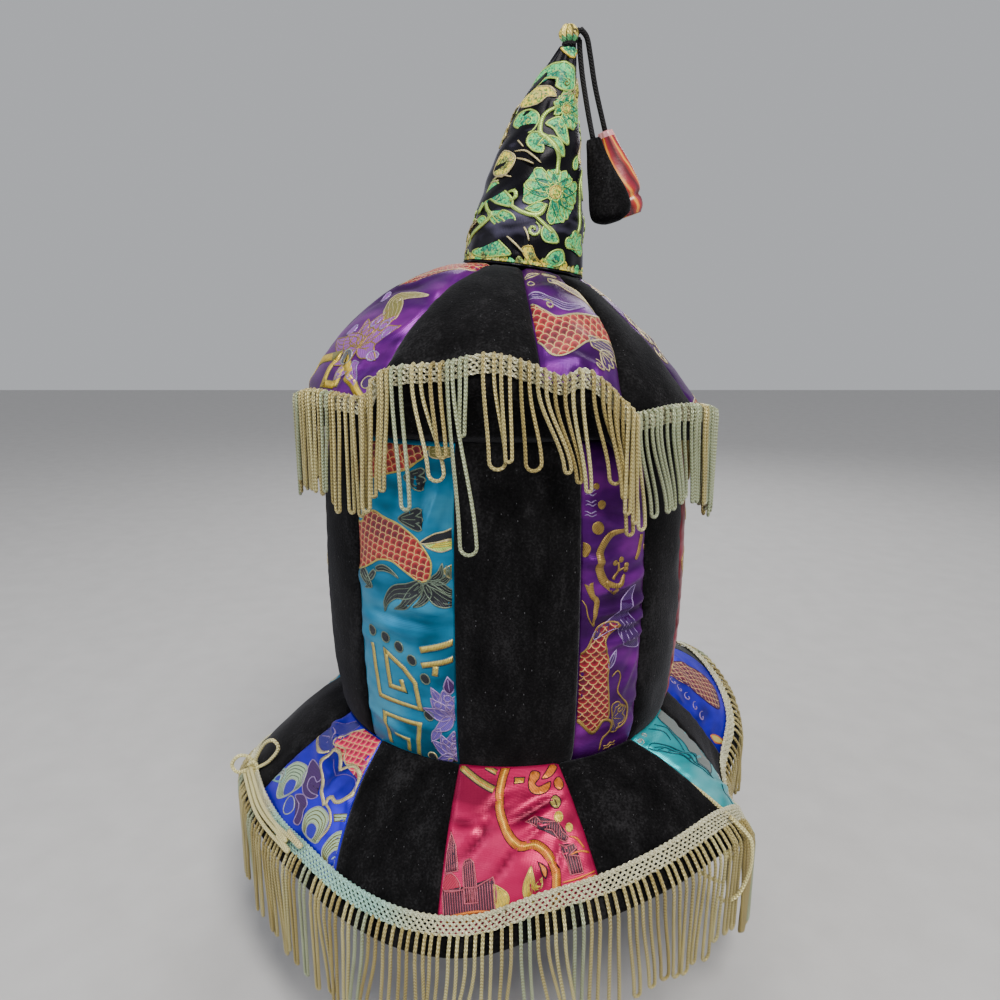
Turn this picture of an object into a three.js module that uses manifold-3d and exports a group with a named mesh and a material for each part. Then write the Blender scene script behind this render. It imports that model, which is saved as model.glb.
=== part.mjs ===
// A jester hat of velvet and brocade patchwork. A twelve-panel crown stands on a waved brim. A canopy
// of ten gores hangs over the crown in five scallops, and a stuffed spire leans from its top, with
// two stuffed bag drops on cords. Looped cord fringe hangs from the canopy's rim and the brim's edge.
// Millimetres, +Z up, the front towards -Y. The origin is the middle of the head opening, at the
// seam between crown and brim. An angle is in degrees from the front, growing towards +X.
import * as THREE from "three";
import { mergeVertices } from "three/addons/utils/BufferGeometryUtils.js";
import Module from "manifold-3d";

const wasm = await Module();
wasm.setup();

// Between neighbouring pieces
const GAP = 0.3;

// Crown
const CROWN_RADIUS = 97;
const CROWN_BULGE = 5.5;
const CROWN_BOTTOM = 0.2;
const CROWN_TOP = 163.5;
const CROWN_WALL = 3;
const CROWN_PUFF = 2.2;

// Canopy
const CANOPY_WALL = 2.4;
const CANOPY_PUFF = 2.5;
const CANOPY_ROWS = 6;
const TOP_RING = { x: 10, height: 244, radius: 32, slope: -0.14 };
const SCALLOP_FADE = 3;
const ROLL_HEIGHT = 12;
const ROLL_WALL = 2.8;
const SOFFIT = { radius: 97.2, height: 164 };

// Brim
const BRIM_WALL = 2.4;
const BRIM_PUFF = 1.5;
const BRIM_BULGE = 4;
const BRIM_ROWS = 5;
const FACING_WIDTH = 9;
const FACING_WALL = 2;

// Fringe
const HEADER_WIDTH = 8;
const HEADER_WALL = 2;
const HEADER_LIFT = 1.2;
const CANOPY_FRINGE = { length: 49, lock: 9.5, pitch: 14.5, wall: 2.6 };
const BRIM_FRINGE = { length: 58, lock: 20, pitch: 26.5, wall: 2.8 };

// Spire, its tuft, cords and drops
const SPIRE_SIDES = 18;
const TUFT = { x: 33, bottom: 357.4, height: 10, radius: 4.2, lobes: 7 };
const CORD_RADIUS = 1.45;
const CORD_STEP = 7;
const DROP_SIDES = 12;
const DROP_DEPTH = 0.68;

// Cloths: colour and how rough and how metallic each looks
const CLOTHS = {
  velvet: { color: 0x141416, roughness: 0.95 },
  turquoise: { color: 0x2d86a6, roughness: 0.45 },
  purple: { color: 0x5a148c, roughness: 0.4 },
  crimson: { color: 0xc8325a, roughness: 0.4 },
  royal: { color: 0x2828c8, roughness: 0.4 },
  aqua: { color: 0x3cbec8, roughness: 0.45 },
  wine: { color: 0x8c1e32, roughness: 0.45 },
  satin: { color: 0x1c1b22, roughness: 0.35 },
  fringe: { color: 0xc9b98c, roughness: 0.6 },
  gold: { color: 0xc8a03c, roughness: 0.4, metalness: 0.3 },
  cord: { color: 0x121214, roughness: 0.9 },
  silk: { color: 0xb4322d, roughness: 0.35 },
};

// Each panel starts at this angle and ends where the next one starts
const CROWN_PANELS = [
  { start: -78, cloth: "velvet" },
  { start: -47, cloth: "turquoise" },
  { start: -14, cloth: "velvet" },
  { start: 20.5, cloth: "purple" },
  { start: 43, cloth: "velvet" },
  { start: 70, cloth: "wine" },
  { start: 98, cloth: "velvet" },
  { start: 127, cloth: "royal" },
  { start: 156, cloth: "velvet" },
  { start: 186, cloth: "crimson" },
  { start: 218, cloth: "velvet" },
  { start: 250, cloth: "purple" },
];
// A brim panel's seam leaves the crown at start and meets the brim's edge at edge
const BRIM_PANELS = [
  { start: -66, edge: -72, cloth: "royal" },
  { start: -43, edge: -37, cloth: "velvet" },
  { start: -14, edge: -13, cloth: "crimson" },
  { start: 16, edge: 18, cloth: "velvet" },
  { start: 44, edge: 53, cloth: "aqua" },
  { start: 68, edge: 73, cloth: "velvet" },
  { start: 85, edge: 89, cloth: "royal" },
  { start: 125, edge: 122, cloth: "velvet" },
  { start: 158, edge: 157, cloth: "purple" },
  { start: 190, edge: 190, cloth: "velvet" },
  { start: 224, edge: 222, cloth: "turquoise" },
  { start: 258, edge: 256, cloth: "velvet" },
];

// The canopy's scallops: the seam angles of each one's two gores, and its rim, left to right, by
// angle, radius and height. A scallop's ends droop and stand out, and it starts higher or lower than
// the one beside it ends.
const SCALLOPS = [
  {
    seams: [-32, 8, 28.5],
    cloths: ["velvet", "purple"],
    rim: [
      { angle: -32, radius: 116, height: 178 },
      { angle: -28, radius: 114, height: 190 },
      { angle: -13, radius: 111, height: 194.5 },
      { angle: -4, radius: 111, height: 198 },
      { angle: 5, radius: 111, height: 194 },
      { angle: 12, radius: 111, height: 188.5 },
      { angle: 18, radius: 112, height: 191 },
      { angle: 28.5, radius: 117, height: 171 },
    ],
  },
  {
    seams: [28.5, 62.5, 100],
    cloths: ["velvet", "purple"],
    rim: [
      { angle: 28.5, radius: 109, height: 170 },
      { angle: 45, radius: 111, height: 173 },
      { angle: 62.5, radius: 112, height: 170 },
      { angle: 82, radius: 112, height: 164 },
      { angle: 100, radius: 115, height: 160 },
    ],
  },
  {
    seams: [100, 136, 172],
    cloths: ["velvet", "turquoise"],
    rim: [
      { angle: 100, radius: 110, height: 167 },
      { angle: 118, radius: 111, height: 174 },
      { angle: 136, radius: 111, height: 176 },
      { angle: 155, radius: 112, height: 173 },
      { angle: 172, radius: 116, height: 164 },
    ],
  },
  {
    seams: [172, 208, 246],
    cloths: ["velvet", "crimson"],
    rim: [
      { angle: 172, radius: 110, height: 171 },
      { angle: 190, radius: 111, height: 178 },
      { angle: 208, radius: 111, height: 180 },
      { angle: 228, radius: 112, height: 176 },
      { angle: 246, radius: 116, height: 165 },
    ],
  },
  {
    seams: [246, 283, 328],
    cloths: ["velvet", "purple"],
    rim: [
      { angle: 246, radius: 110, height: 169 },
      { angle: 264, radius: 111, height: 173 },
      { angle: 283, radius: 111, height: 174 },
      { angle: 305, radius: 111, height: 179 },
      { angle: 328, radius: 109, height: 177 },
    ],
  },
];

// The canopy's seams that don't run straight up from the rim: how far each has leant by the ring and
// how far it bows out halfway, in degrees, and how far up from the rim a seam stays unbowed
const SEAM_STRAIGHT = 1 / 6;
const CURVED_SEAMS = [
  { rim: 8, lean: -11.5, bow: 0 },
  { rim: 28.5, lean: 0, bow: 7 },
];

// The dome over the scallops, once round: the rim that it would have without them, and how full it
// is (1 is a cone, 2 is round)
const DOME = [
  { angle: -83, radius: 111, height: 174, fullness: 1.52 },
  { angle: 0, radius: 111, height: 188, fullness: 1.36 },
  { angle: 75, radius: 111, height: 167, fullness: 1.12 },
  { angle: 180, radius: 111, height: 173, fullness: 1.42 },
];

// The brim's edge, once round: it dips at the front left, lifts at the front right, folds down
// sharply at the right corner and curls up behind it
const BRIM_EDGE = [
  { angle: -86, radius: 158, height: -49 },
  { angle: -70, radius: 151, height: -51 },
  { angle: -58, radius: 146, height: -53 },
  { angle: -46, radius: 144, height: -52 },
  { angle: -32, radius: 144, height: -57 },
  { angle: -18, radius: 145, height: -59 },
  { angle: -6, radius: 146, height: -55 },
  { angle: 6, radius: 146, height: -44 },
  { angle: 18, radius: 146, height: -39 },
  { angle: 32, radius: 147, height: -34 },
  { angle: 46, radius: 148, height: -33 },
  { angle: 56, radius: 149, height: -41 },
  { angle: 66, radius: 147, height: -58 },
  { angle: 76, radius: 139, height: -66 },
  { angle: 86, radius: 138, height: -58 },
  { angle: 97, radius: 152, height: -42 },
  { angle: 108, radius: 158, height: -28 },
  { angle: 119, radius: 158, height: -17 },
  { angle: 131, radius: 158, height: -21 },
  { angle: 146, radius: 155, height: -40 },
  { angle: 162, radius: 153, height: -54 },
  { angle: 180, radius: 152, height: -57 },
  { angle: 198, radius: 153, height: -50 },
  { angle: 214, radius: 155, height: -48 },
  { angle: 230, radius: 154, height: -57 },
  { angle: 246, radius: 152, height: -60 },
  { angle: 260, radius: 155, height: -56 },
];

// The spire's round sections, bottom to top
const SPIRE_SECTIONS = [
  { height: 245, x: 10, radius: 32.8 },
  { height: 255, x: 11, radius: 31.8 },
  { height: 270, x: 12.7, radius: 29.6 },
  { height: 290, x: 15.4, radius: 25.8 },
  { height: 310, x: 18.8, radius: 20.8 },
  { height: 330, x: 23.2, radius: 14.9 },
  { height: 347, x: 29, radius: 8 },
  { height: 357, x: 32.4, radius: 3.8 },
];

// The two cords from the tip, each with its drop: where the drop's bottom is and how wide it is
const CORDS = [
  {
    side: "front",
    cloth: "velvet",
    path: [[38.7, 3.4, 361.5], [39.4, 4.6, 355], [41, 4, 343], [44, 1.5, 326], [46.6, -1, 312.8]],
    bottom: [58.8, -2.5, 270.5],
    radius: 11.6,
  },
  {
    side: "back",
    cloth: "silk",
    path: [[38.8, -1.3, 365], [42.5, 2, 362], [45, 5.5, 354], [48.5, 9.5, 340], [55, 15, 320.2]],
    bottom: [70, 17, 276],
    radius: 10.8,
  },
];
const DROP_SECTIONS = [
  { along: 0, width: 0.3 },
  { along: 0.05, width: 0.38 },
  { along: 0.45, width: 0.68 },
  { along: 0.82, width: 1 },
  { along: 0.95, width: 0.86 },
  { along: 1, width: 0.5 },
];

const radians = THREE.MathUtils.degToRad;

// A point by angle, distance from the axis and height
const polar = (angle, radius, height) =>
  new THREE.Vector3(radius * Math.sin(radians(angle)), -radius * Math.cos(radians(angle)), height);

// A number from 0 to 1 that looks random and is the same each time
const scatter = (seed) => {
  const wave = Math.sin(seed * 12.9898) * 43758.5453;
  return wave - Math.floor(wave);
};

// The value of a column at an angle, on a smooth curve through the rows; a loop's rows go once round
function curveAt(rows, column, angle, loop) {
  const count = rows.length;
  const row = (i) => {
    if (!loop) return rows[THREE.MathUtils.clamp(i, 0, count - 1)];
    const turn = Math.floor(i / count);
    const base = rows[i - turn * count];
    return { ...base, angle: base.angle + 360 * turn };
  };
  const first = rows[0].angle;
  const at = loop ? THREE.MathUtils.euclideanModulo(angle - first, 360) + first : angle;
  let i = 0;
  while (i < count - (loop ? 1 : 2) && row(i + 1).angle <= at) i += 1;
  const [before, low, high, after] = [row(i - 1), row(i), row(i + 1), row(i + 2)];
  const span = high.angle - low.angle;
  const t = (at - low.angle) / span;
  const slope = (a, b) => (b.angle > a.angle ? (b[column] - a[column]) / (b.angle - a.angle) : 0);
  const [t2, t3] = [t * t, t * t * t];
  return (
    low[column] * (2 * t3 - 3 * t2 + 1) +
    high[column] * (3 * t2 - 2 * t3) +
    span * slope(before, high) * (t3 - 2 * t2 + t) +
    span * slope(low, after) * (t3 - t2)
  );
}

// A mesh geometry from points and triangles, turned so that its faces point out
function solid(points, triangles) {
  let volume = 0;
  for (const [a, b, c] of triangles) volume += points[a].dot(points[b].clone().cross(points[c]));
  const faces = volume > 0 ? triangles : triangles.map(([a, b, c]) => [a, c, b]);
  const geometry = new THREE.BufferGeometry();
  const numbers = points.flatMap((point) => point.toArray());
  geometry.setAttribute("position", new THREE.Float32BufferAttribute(numbers, 3));
  geometry.setIndex(faces.flat());
  return geometry;
}

// A closed wall between two sheets. Each sheet is a function of a place across and a place along,
// given as lists of steps; a ring joins its last column to its first.
function wall(outside, inside, across, along, ring = false) {
  const columns = across.length;
  const rows = along.length;
  const points = [outside, inside].flatMap((sheet) => across.flatMap((u) => along.map((v) => sheet(u, v))));
  const at = (side, i, j) => (side * columns + (i % columns)) * rows + j;
  const triangles = [];
  const quad = (a, b, c, d) => triangles.push([a, b, c], [a, c, d]);
  const last = ring ? columns : columns - 1;
  for (let i = 0; i < last; i += 1) {
    for (let j = 0; j < rows - 1; j += 1) {
      quad(at(0, i, j), at(0, i + 1, j), at(0, i + 1, j + 1), at(0, i, j + 1));
      quad(at(1, i, j), at(1, i, j + 1), at(1, i + 1, j + 1), at(1, i + 1, j));
    }
    quad(at(0, i, 0), at(1, i, 0), at(1, i + 1, 0), at(0, i + 1, 0));
    quad(at(0, i, rows - 1), at(0, i + 1, rows - 1), at(1, i + 1, rows - 1), at(1, i, rows - 1));
  }
  if (!ring) {
    for (let j = 0; j < rows - 1; j += 1) {
      quad(at(0, 0, j), at(0, 0, j + 1), at(1, 0, j + 1), at(1, 0, j));
      quad(at(0, last, j), at(1, last, j), at(1, last, j + 1), at(0, last, j + 1));
    }
  }
  return solid(points, triangles);
}

// A closed solid through rings of points, with flat ends
function loft(rings) {
  const sides = rings[0].length;
  const points = rings.flat();
  const triangles = [];
  for (let i = 0; i < rings.length - 1; i += 1) {
    for (let j = 0; j < sides; j += 1) {
      const [a, b] = [i * sides + j, i * sides + ((j + 1) % sides)];
      triangles.push([a, b, b + sides], [a, b + sides, a + sides]);
    }
  }
  const top = (rings.length - 1) * sides;
  for (let j = 1; j < sides - 1; j += 1) {
    triangles.push([0, j + 1, j], [top, top + j, top + j + 1]);
  }
  return solid(points, triangles);
}

const steps = (count) => Array.from({ length: count + 1 }, (_, i) => i / count);

// Steps across and up a padded panel, closer together by its seams
const PANEL_STEPS = [0, 0.1, 0.35, 0.65, 0.9, 1];
const CROWN_STEPS = [0, 0.07, 0.32, 0.68, 0.93, 1];

// How far padding lifts a panel, 0 at its seams and 1 in its middle
const puffed = (u) => 1 - (2 * u - 1) ** 4;

// Where across a panel a step lies: the seams are moved in to leave the gap, at this distance out
const inset = (from, to, u, radius) => {
  const seam = THREE.MathUtils.radToDeg(GAP / 2 / radius);
  return THREE.MathUtils.lerp(from + seam, to - seam, u);
};

// A panel's row a full turn on, so that the last panel has a row to end at
const turned = (row) => ({ ...row, start: row.start + 360, edge: row.edge + 360 });

// The angles of the steps across some panels, from the first seam to the last
const panelAngles = (seams) => [
  ...seams.slice(0, -1).flatMap((from, i) =>
    PANEL_STEPS.slice(0, -1).map((u) => THREE.MathUtils.lerp(from, seams[i + 1], u)),
  ),
  seams.at(-1),
];

// The same for a scallop, with both ends moved in to leave the gap
function scallopAngles(scallop) {
  const angles = panelAngles(scallop.seams);
  const [from, to] = [angles[0], angles.at(-1)];
  return angles.map((angle) => inset(from, to, (angle - from) / (to - from), CROWN_RADIUS));
}

const crownRadius = (v) => CROWN_RADIUS + CROWN_BULGE * Math.sqrt(Math.sin(Math.PI * v));

function crownPanel(left, right) {
  const sheet = (lift) => (u, v) => {
    const puff = CROWN_PUFF * puffed(u) * puffed(v);
    const radius = crownRadius(v) + (lift === 0 ? puff : puff / 2) + lift;
    const angle = inset(left.start, right.start, u, CROWN_RADIUS);
    return polar(angle, radius, THREE.MathUtils.lerp(CROWN_BOTTOM, CROWN_TOP, v));
  };
  return wall(sheet(0), sheet(-CROWN_WALL), PANEL_STEPS, CROWN_STEPS);
}

// A scallop's rim at an angle
function rimAt(scallop, angle) {
  const within = THREE.MathUtils.clamp(angle, scallop.seams[0], scallop.seams[2]);
  return {
    radius: curveAt(scallop.rim, "radius", within, false),
    height: curveAt(scallop.rim, "height", within, false),
  };
}

// A point of the canopy's outside, from the rim (v 0) to the ring under the spire (v 1). The scallop
// departs from the dome by the rim and fades into it above.
function canopyPoint(scallop, angle, v, lift) {
  const base = {
    radius: curveAt(DOME, "radius", angle, true),
    height: curveAt(DOME, "height", angle, true),
  };
  const rim = rimAt(scallop, angle);
  const power = 2 / curveAt(DOME, "fullness", angle, true);
  const turn = (v * Math.PI) / 2;
  const fade = (1 - v) ** SCALLOP_FADE;
  const top = polar(angle, TOP_RING.radius, 0);
  const ring = top.clone().setX(top.x + TOP_RING.x);
  const out = Math.cos(turn) ** power;
  const point = ring.lerp(polar(angle, base.radius, 0), out);
  point.add(polar(angle, (rim.radius - base.radius) * fade, 0));
  const ringHeight = TOP_RING.height + TOP_RING.slope * top.x;
  point.z = THREE.MathUtils.lerp(base.height, ringHeight, Math.sin(turn) ** power);
  point.z += (rim.height - base.height) * fade;
  return point.add(polar(angle, lift * Math.cos(turn), lift * Math.sin(turn)));
}

// The angle of a canopy seam, from the rim (v 0) to the ring (v 1)
function seamAt(rim, v) {
  const curved = CURVED_SEAMS.find((row) => row.rim === rim);
  const up = Math.max(0, (v - SEAM_STRAIGHT) / (1 - SEAM_STRAIGHT));
  return curved ? rim + curved.lean * v * v + curved.bow * Math.sin(Math.PI * up) ** 2 : rim;
}

function canopyGore(scallop, from, to) {
  const sheet = (lift) => (u, v) => {
    const radius = THREE.MathUtils.lerp(CROWN_RADIUS, TOP_RING.radius, v);
    const puff = CANOPY_PUFF * puffed(u) * Math.sin(Math.PI * v);
    return canopyPoint(scallop, inset(seamAt(from, v), seamAt(to, v), u, radius), v, puff + lift);
  };
  return wall(sheet(0), sheet(-CANOPY_WALL), PANEL_STEPS, steps(CANOPY_ROWS));
}

// The rolled velvet edge under a scallop and the soffit that runs in from it to the crown
function canopyRim(scallop) {
  const depth = ROLL_HEIGHT;
  const section = [
    { side: 0, out: -0.1, down: GAP },
    { side: 0, out: 1.2, down: depth * 0.4 },
    { side: 0, out: -0.2, down: depth * 0.82 },
    { side: 0, out: -3.6, down: depth },
    { side: 1, out: -ROLL_WALL, down: GAP },
    { side: 1, out: -ROLL_WALL + 1, down: depth * 0.35 },
    { side: 1, out: -ROLL_WALL - 0.6, down: depth * 0.62 },
    { side: 1, out: -ROLL_WALL - 2.2, down: depth * 0.74 },
  ];
  const sheet = (side) => (angle, v) => {
    const { radius, height } = rimAt(scallop, angle);
    const rows = section.filter((row) => row.side === side);
    if (v < rows.length) return polar(angle, radius + rows[v].out, height - rows[v].down);
    return polar(angle, SOFFIT.radius, SOFFIT.height + side * ROLL_WALL);
  };
  return wall(sheet(0), sheet(1), scallopAngles(scallop), [0, 1, 2, 3, 4]);
}

// A point of the brim's top side, from the crown (v 0) to the edge (v 1), and past it on the facing;
// lift is measured square to the slope
function brimPoint(angle, v, lift) {
  const edge = {
    r: curveAt(BRIM_EDGE, "radius", angle, true),
    z: curveAt(BRIM_EDGE, "height", angle, true),
  };
  const start = new THREE.Vector2(CROWN_RADIUS + GAP, 0);
  const end = new THREE.Vector2(edge.r, edge.z);
  const slope = end.clone().sub(start);
  const length = slope.length();
  const normal = new THREE.Vector2(-slope.y, slope.x).normalize();
  const middle = start.clone().lerp(end, 0.5).addScaledVector(normal, 2 * BRIM_BULGE);
  const curve = new THREE.QuadraticBezierCurve(start, middle, end);
  const t = Math.min(v, 1);
  const point = curve.getPoint(t);
  const tangent = curve.getTangent(t);
  if (v > 1) point.addScaledVector(tangent, (v - 1) * length);
  point.addScaledVector(new THREE.Vector2(-tangent.y, tangent.x), lift);
  return { point: polar(angle, point.x, point.y), length };
}

function brimPanel(left, right) {
  const sheet = (lift) => (u, v) => {
    const radius = THREE.MathUtils.lerp(CROWN_RADIUS, BRIM_EDGE[0].radius, v);
    const from = THREE.MathUtils.lerp(left.start, left.edge, v);
    const to = THREE.MathUtils.lerp(right.start, right.edge, v);
    const puff = BRIM_PUFF * puffed(u) * Math.sin(Math.PI * v);
    return brimPoint(inset(from, to, u, radius), v, puff + lift).point;
  };
  return wall(sheet(0), sheet(-BRIM_WALL), PANEL_STEPS, steps(BRIM_ROWS));
}

// The steps once round the brim's edge
const BRIM_ANGLES = panelAngles([...BRIM_PANELS, turned(BRIM_PANELS[0])].map((row) => row.edge)).slice(0, -1);

// The place along the brim at a distance in millimetres past its edge
const pastEdge = (angle, distance) => 1 + distance / brimPoint(angle, 1, 0).length;

// The velvet facing that shows beyond the fringe's header
function brimFacing() {
  const sheet = (lift) => (angle, v) =>
    brimPoint(angle, pastEdge(angle, THREE.MathUtils.lerp(GAP, FACING_WIDTH, v)), lift).point;
  return wall(sheet(0), sheet(-FACING_WALL), BRIM_ANGLES, [0, 1], true);
}

// Join meshes into one closed body
function fuse(geometries) {
  const bodies = geometries.map((geometry) => {
    const merged = mergeVertices(geometry, 1e-4);
    const mesh = new wasm.Mesh({
      numProp: 3,
      vertProperties: merged.attributes.position.array,
      triVerts: Uint32Array.from(merged.index.array),
    });
    return new wasm.Manifold(mesh);
  });
  const joined = bodies.reduce((whole, body) => whole.add(body)).getMesh();
  const geometry = new THREE.BufferGeometry();
  geometry.setAttribute("position", new THREE.BufferAttribute(joined.vertProperties, 3));
  geometry.setIndex(new THREE.BufferAttribute(joined.triVerts, 1));
  return geometry;
}

// The locks that hang from a header: the middle angle and the half width of each, and its length
function locks(fringe, from, to, radius) {
  const count = Math.round(radians(to - from) * radius / fringe.pitch);
  const half = THREE.MathUtils.radToDeg(fringe.lock / 2 / radius);
  return steps(count).slice(0, -1).map((u, i) => ({
    angle: THREE.MathUtils.lerp(from, to, u + 0.5 / count),
    half,
    length: fringe.length * (0.9 + 0.16 * scatter(i + from)),
  }));
}

// Looped cord fringe along one scallop: a woven header on the rim, and locks of loops hanging from it
function canopyFringe(scallop) {
  const [from, , to] = scallop.seams;
  const place = (angle, lift, height) => {
    const point = canopyPoint(scallop, angle, 0, HEADER_LIFT + lift);
    point.z += height;
    return point;
  };
  const sheet = (lift) => (angle, v) => place(angle, lift, HEADER_WIDTH * (0.75 - v));
  const header = wall(sheet(HEADER_WALL), sheet(0), scallopAngles(scallop), [0, 1]);
  const strips = locks(CANOPY_FRINGE, from, to, scallop.rim[0].radius).map((lock) => {
    const strip = (lift) => (u, v) => {
      const narrowed = v === 2 ? 0.7 : 1;
      const drops = [-HEADER_WIDTH / 2, lock.length * 0.9, lock.length];
      return place(lock.angle + lock.half * u * narrowed, lift, -drops[v]);
    };
    const back = HEADER_WALL / 2;
    return wall(strip(back + CANOPY_FRINGE.wall), strip(back), [-1, 1], [0, 1, 2]);
  });
  return fuse([header, ...strips]);
}

// The same fringe round the brim: its header lies on the brim, and its locks bend over the facing
function brimFringe() {
  const sheet = (lift) => (angle, v) =>
    brimPoint(angle, pastEdge(angle, (v - 1) * HEADER_WIDTH), HEADER_LIFT + lift).point;
  const header = wall(sheet(HEADER_WALL), sheet(0), BRIM_ANGLES, [0, 1], true);
  const strips = locks(BRIM_FRINGE, 0, 360, CROWN_RADIUS + HEADER_WIDTH * 7).map((lock) => {
    const strip = (lift) => (u, v) => {
      const angle = lock.angle + lock.half * u * (v === 2 ? 0.8 : 1);
      const past = v === 0 ? -HEADER_WIDTH / 2 : FACING_WIDTH;
      const { point } = brimPoint(angle, pastEdge(angle, past), HEADER_LIFT + lift);
      if (v === 2) point.z -= lock.length - FACING_WIDTH;
      return point;
    };
    const back = HEADER_WALL / 2;
    return wall(strip(back + BRIM_FRINGE.wall), strip(back), [-1, 1], [0, 1, 2]);
  });
  return fuse([header, ...strips]);
}

// A stuffed cone through its sections; its foot follows the slope of the ring that it stands on
function spire() {
  const last = SPIRE_SECTIONS.length - 1;
  const rings = SPIRE_SECTIONS.map((section, i) =>
    steps(SPIRE_SIDES).slice(0, -1).map((u) => {
      const point = polar(360 * u, section.radius, 0);
      point.z = section.height + TOP_RING.slope * point.x * (1 - i / last) ** 3;
      point.x += section.x;
      return point;
    }),
  );
  return loft(rings);
}

// The gathered cloth above the spire's tie, in lobes
function tuft() {
  const rings = [0.6, 1, 0.75].map((width, i) =>
    steps(TUFT.lobes * 2).slice(0, -1).map((u, k) => {
      const radius = TUFT.radius * width * (k % 2 ? 0.72 : 1);
      const point = polar(360 * u, radius, TUFT.bottom + (TUFT.height * i) / 2);
      point.x += TUFT.x;
      return point;
    }),
  );
  return loft(rings);
}

// A cord: a round section swept along a curve through its points
function cord(path) {
  const curve = new THREE.CatmullRomCurve3(path.map((point) => new THREE.Vector3(...point)));
  const section = new THREE.Shape();
  section.absarc(0, 0, CORD_RADIUS, 0, 2 * Math.PI);
  return new THREE.ExtrudeGeometry(section, {
    steps: Math.round(curve.getLength() / CORD_STEP),
    extrudePath: curve,
    curveSegments: 4,
    bevelEnabled: false,
  });
}

// A stuffed bag, narrow at the top, that hangs from a cord's end
function drop(row) {
  const top = new THREE.Vector3(...row.path.at(-1));
  const bottom = new THREE.Vector3(...row.bottom);
  const axis = bottom.clone().sub(top).normalize();
  top.addScaledVector(axis, GAP);
  const wide = new THREE.Vector3(0, 1, 0).cross(axis).normalize();
  const deep = axis.clone().cross(wide);
  const rings = DROP_SECTIONS.map((section) =>
    steps(DROP_SIDES).slice(0, -1).map((u) => {
      const radius = row.radius * section.width;
      return top
        .clone()
        .lerp(bottom, section.along)
        .addScaledVector(wide, radius * Math.cos(2 * Math.PI * u))
        .addScaledVector(deep, radius * DROP_DEPTH * Math.sin(2 * Math.PI * u));
    }),
  );
  return loft(rings);
}

const group = new THREE.Group();

function add(name, geometry, cloth) {
  const mesh = new THREE.Mesh(geometry, new THREE.MeshStandardMaterial(CLOTHS[cloth]));
  mesh.name = name;
  group.add(mesh);
}

// One piece for each row of panels, numbered from the first
function addPanels(name, rows, make) {
  rows.forEach((row, i) => {
    const next = i + 1 < rows.length ? rows[i + 1] : turned(rows[0]);
    add(`${name}_${String(i + 1).padStart(2, "0")}`, make(row, next), row.cloth);
  });
}

addPanels("crown_panel", CROWN_PANELS, crownPanel);
addPanels("brim_panel", BRIM_PANELS, brimPanel);
add("brim_facing", brimFacing(), "velvet");
add("brim_fringe", brimFringe(), "fringe");

SCALLOPS.forEach((scallop, i) => {
  const [left, seam, right] = scallop.seams;
  add(`canopy_gore_${i + 1}_left`, canopyGore(scallop, left, seam), scallop.cloths[0]);
  add(`canopy_gore_${i + 1}_right`, canopyGore(scallop, seam, right), scallop.cloths[1]);
  add(`canopy_rim_${i + 1}`, canopyRim(scallop), "velvet");
  add(`canopy_fringe_${i + 1}`, canopyFringe(scallop), "fringe");
});

add("spire", spire(), "satin");
add("spire_tuft", tuft(), "gold");
for (const row of CORDS) {
  add(`cord_${row.side}`, cord(row.path), "cord");
  add(`drop_${row.side}`, drop(row), row.cloth);
}

export default group;
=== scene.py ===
"""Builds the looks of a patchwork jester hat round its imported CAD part: panels of velvet and
brocade, woven figures, looped cord fringe, a stuffed satin spire and two bag drops on cords."""

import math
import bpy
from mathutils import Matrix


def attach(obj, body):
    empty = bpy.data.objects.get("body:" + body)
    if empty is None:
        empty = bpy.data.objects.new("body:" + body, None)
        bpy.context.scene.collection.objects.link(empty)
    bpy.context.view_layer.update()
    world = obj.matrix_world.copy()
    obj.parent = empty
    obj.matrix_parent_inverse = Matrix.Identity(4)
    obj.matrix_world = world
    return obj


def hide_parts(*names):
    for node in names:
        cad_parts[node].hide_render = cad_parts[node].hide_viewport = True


bl_info = {
    "name": "Jester Hat Builder",
    "version": (1, 0, 0),
    "blender": (4, 5, 0),
    "location": "3D View > Sidebar > Hat",
    "description": "Builds the cloth, fringe and spire of a patchwork jester hat",
    "category": "Object",
}

from functools import cache

import bmesh
import bpy
import numpy as np
from mathutils import Vector

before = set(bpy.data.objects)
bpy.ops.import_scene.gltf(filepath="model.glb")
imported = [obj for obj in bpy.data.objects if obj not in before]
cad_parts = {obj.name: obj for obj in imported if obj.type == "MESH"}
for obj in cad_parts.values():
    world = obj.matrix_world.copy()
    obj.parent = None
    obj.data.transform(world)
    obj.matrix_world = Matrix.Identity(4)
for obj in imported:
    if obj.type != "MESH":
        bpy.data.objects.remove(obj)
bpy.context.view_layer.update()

MM = 0.001
# Millimetres, as in the part's source; the meshes are scaled to metres when they are made
GAP = 0.3
# What is left of the gap between sewn panels in the cloth
SEAM_GAP = 0.04
CROWN_BASE = 97
CROWN_BULGE = 5.5
CROWN_BOTTOM = 0.2
CROWN_TOP = 163.5
CROWN_WALL = 3
# How far the crown's panels reach down behind the brim's seam
SEAM_TUCK = 2.2
CROWN_PUFF = 2.2
CANOPY_WALL = 2.4
CANOPY_PUFF = 2.5
RING_X, RING_HEIGHT, RING_RADIUS, RING_SLOPE = 10, 244, 32, -0.14
ROLL_WALL = 2.8
SOFFIT_RADIUS, SOFFIT_HEIGHT = 97.2, 164
BRIM_WALL = 2.4
BRIM_PUFF = 1.5
BRIM_BULGE = 4
FACING_WIDTH = 9
FACING_WALL = 2
# Distances from the axis that lengths round the hat are worked out with
BRIM_REACH = 148
GORE_REACH, HEADER_REACH, ROLL_REACH = 114, 113, 112
SWEPT_REACH = 120
SPIRE_REACH = 26
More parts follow.
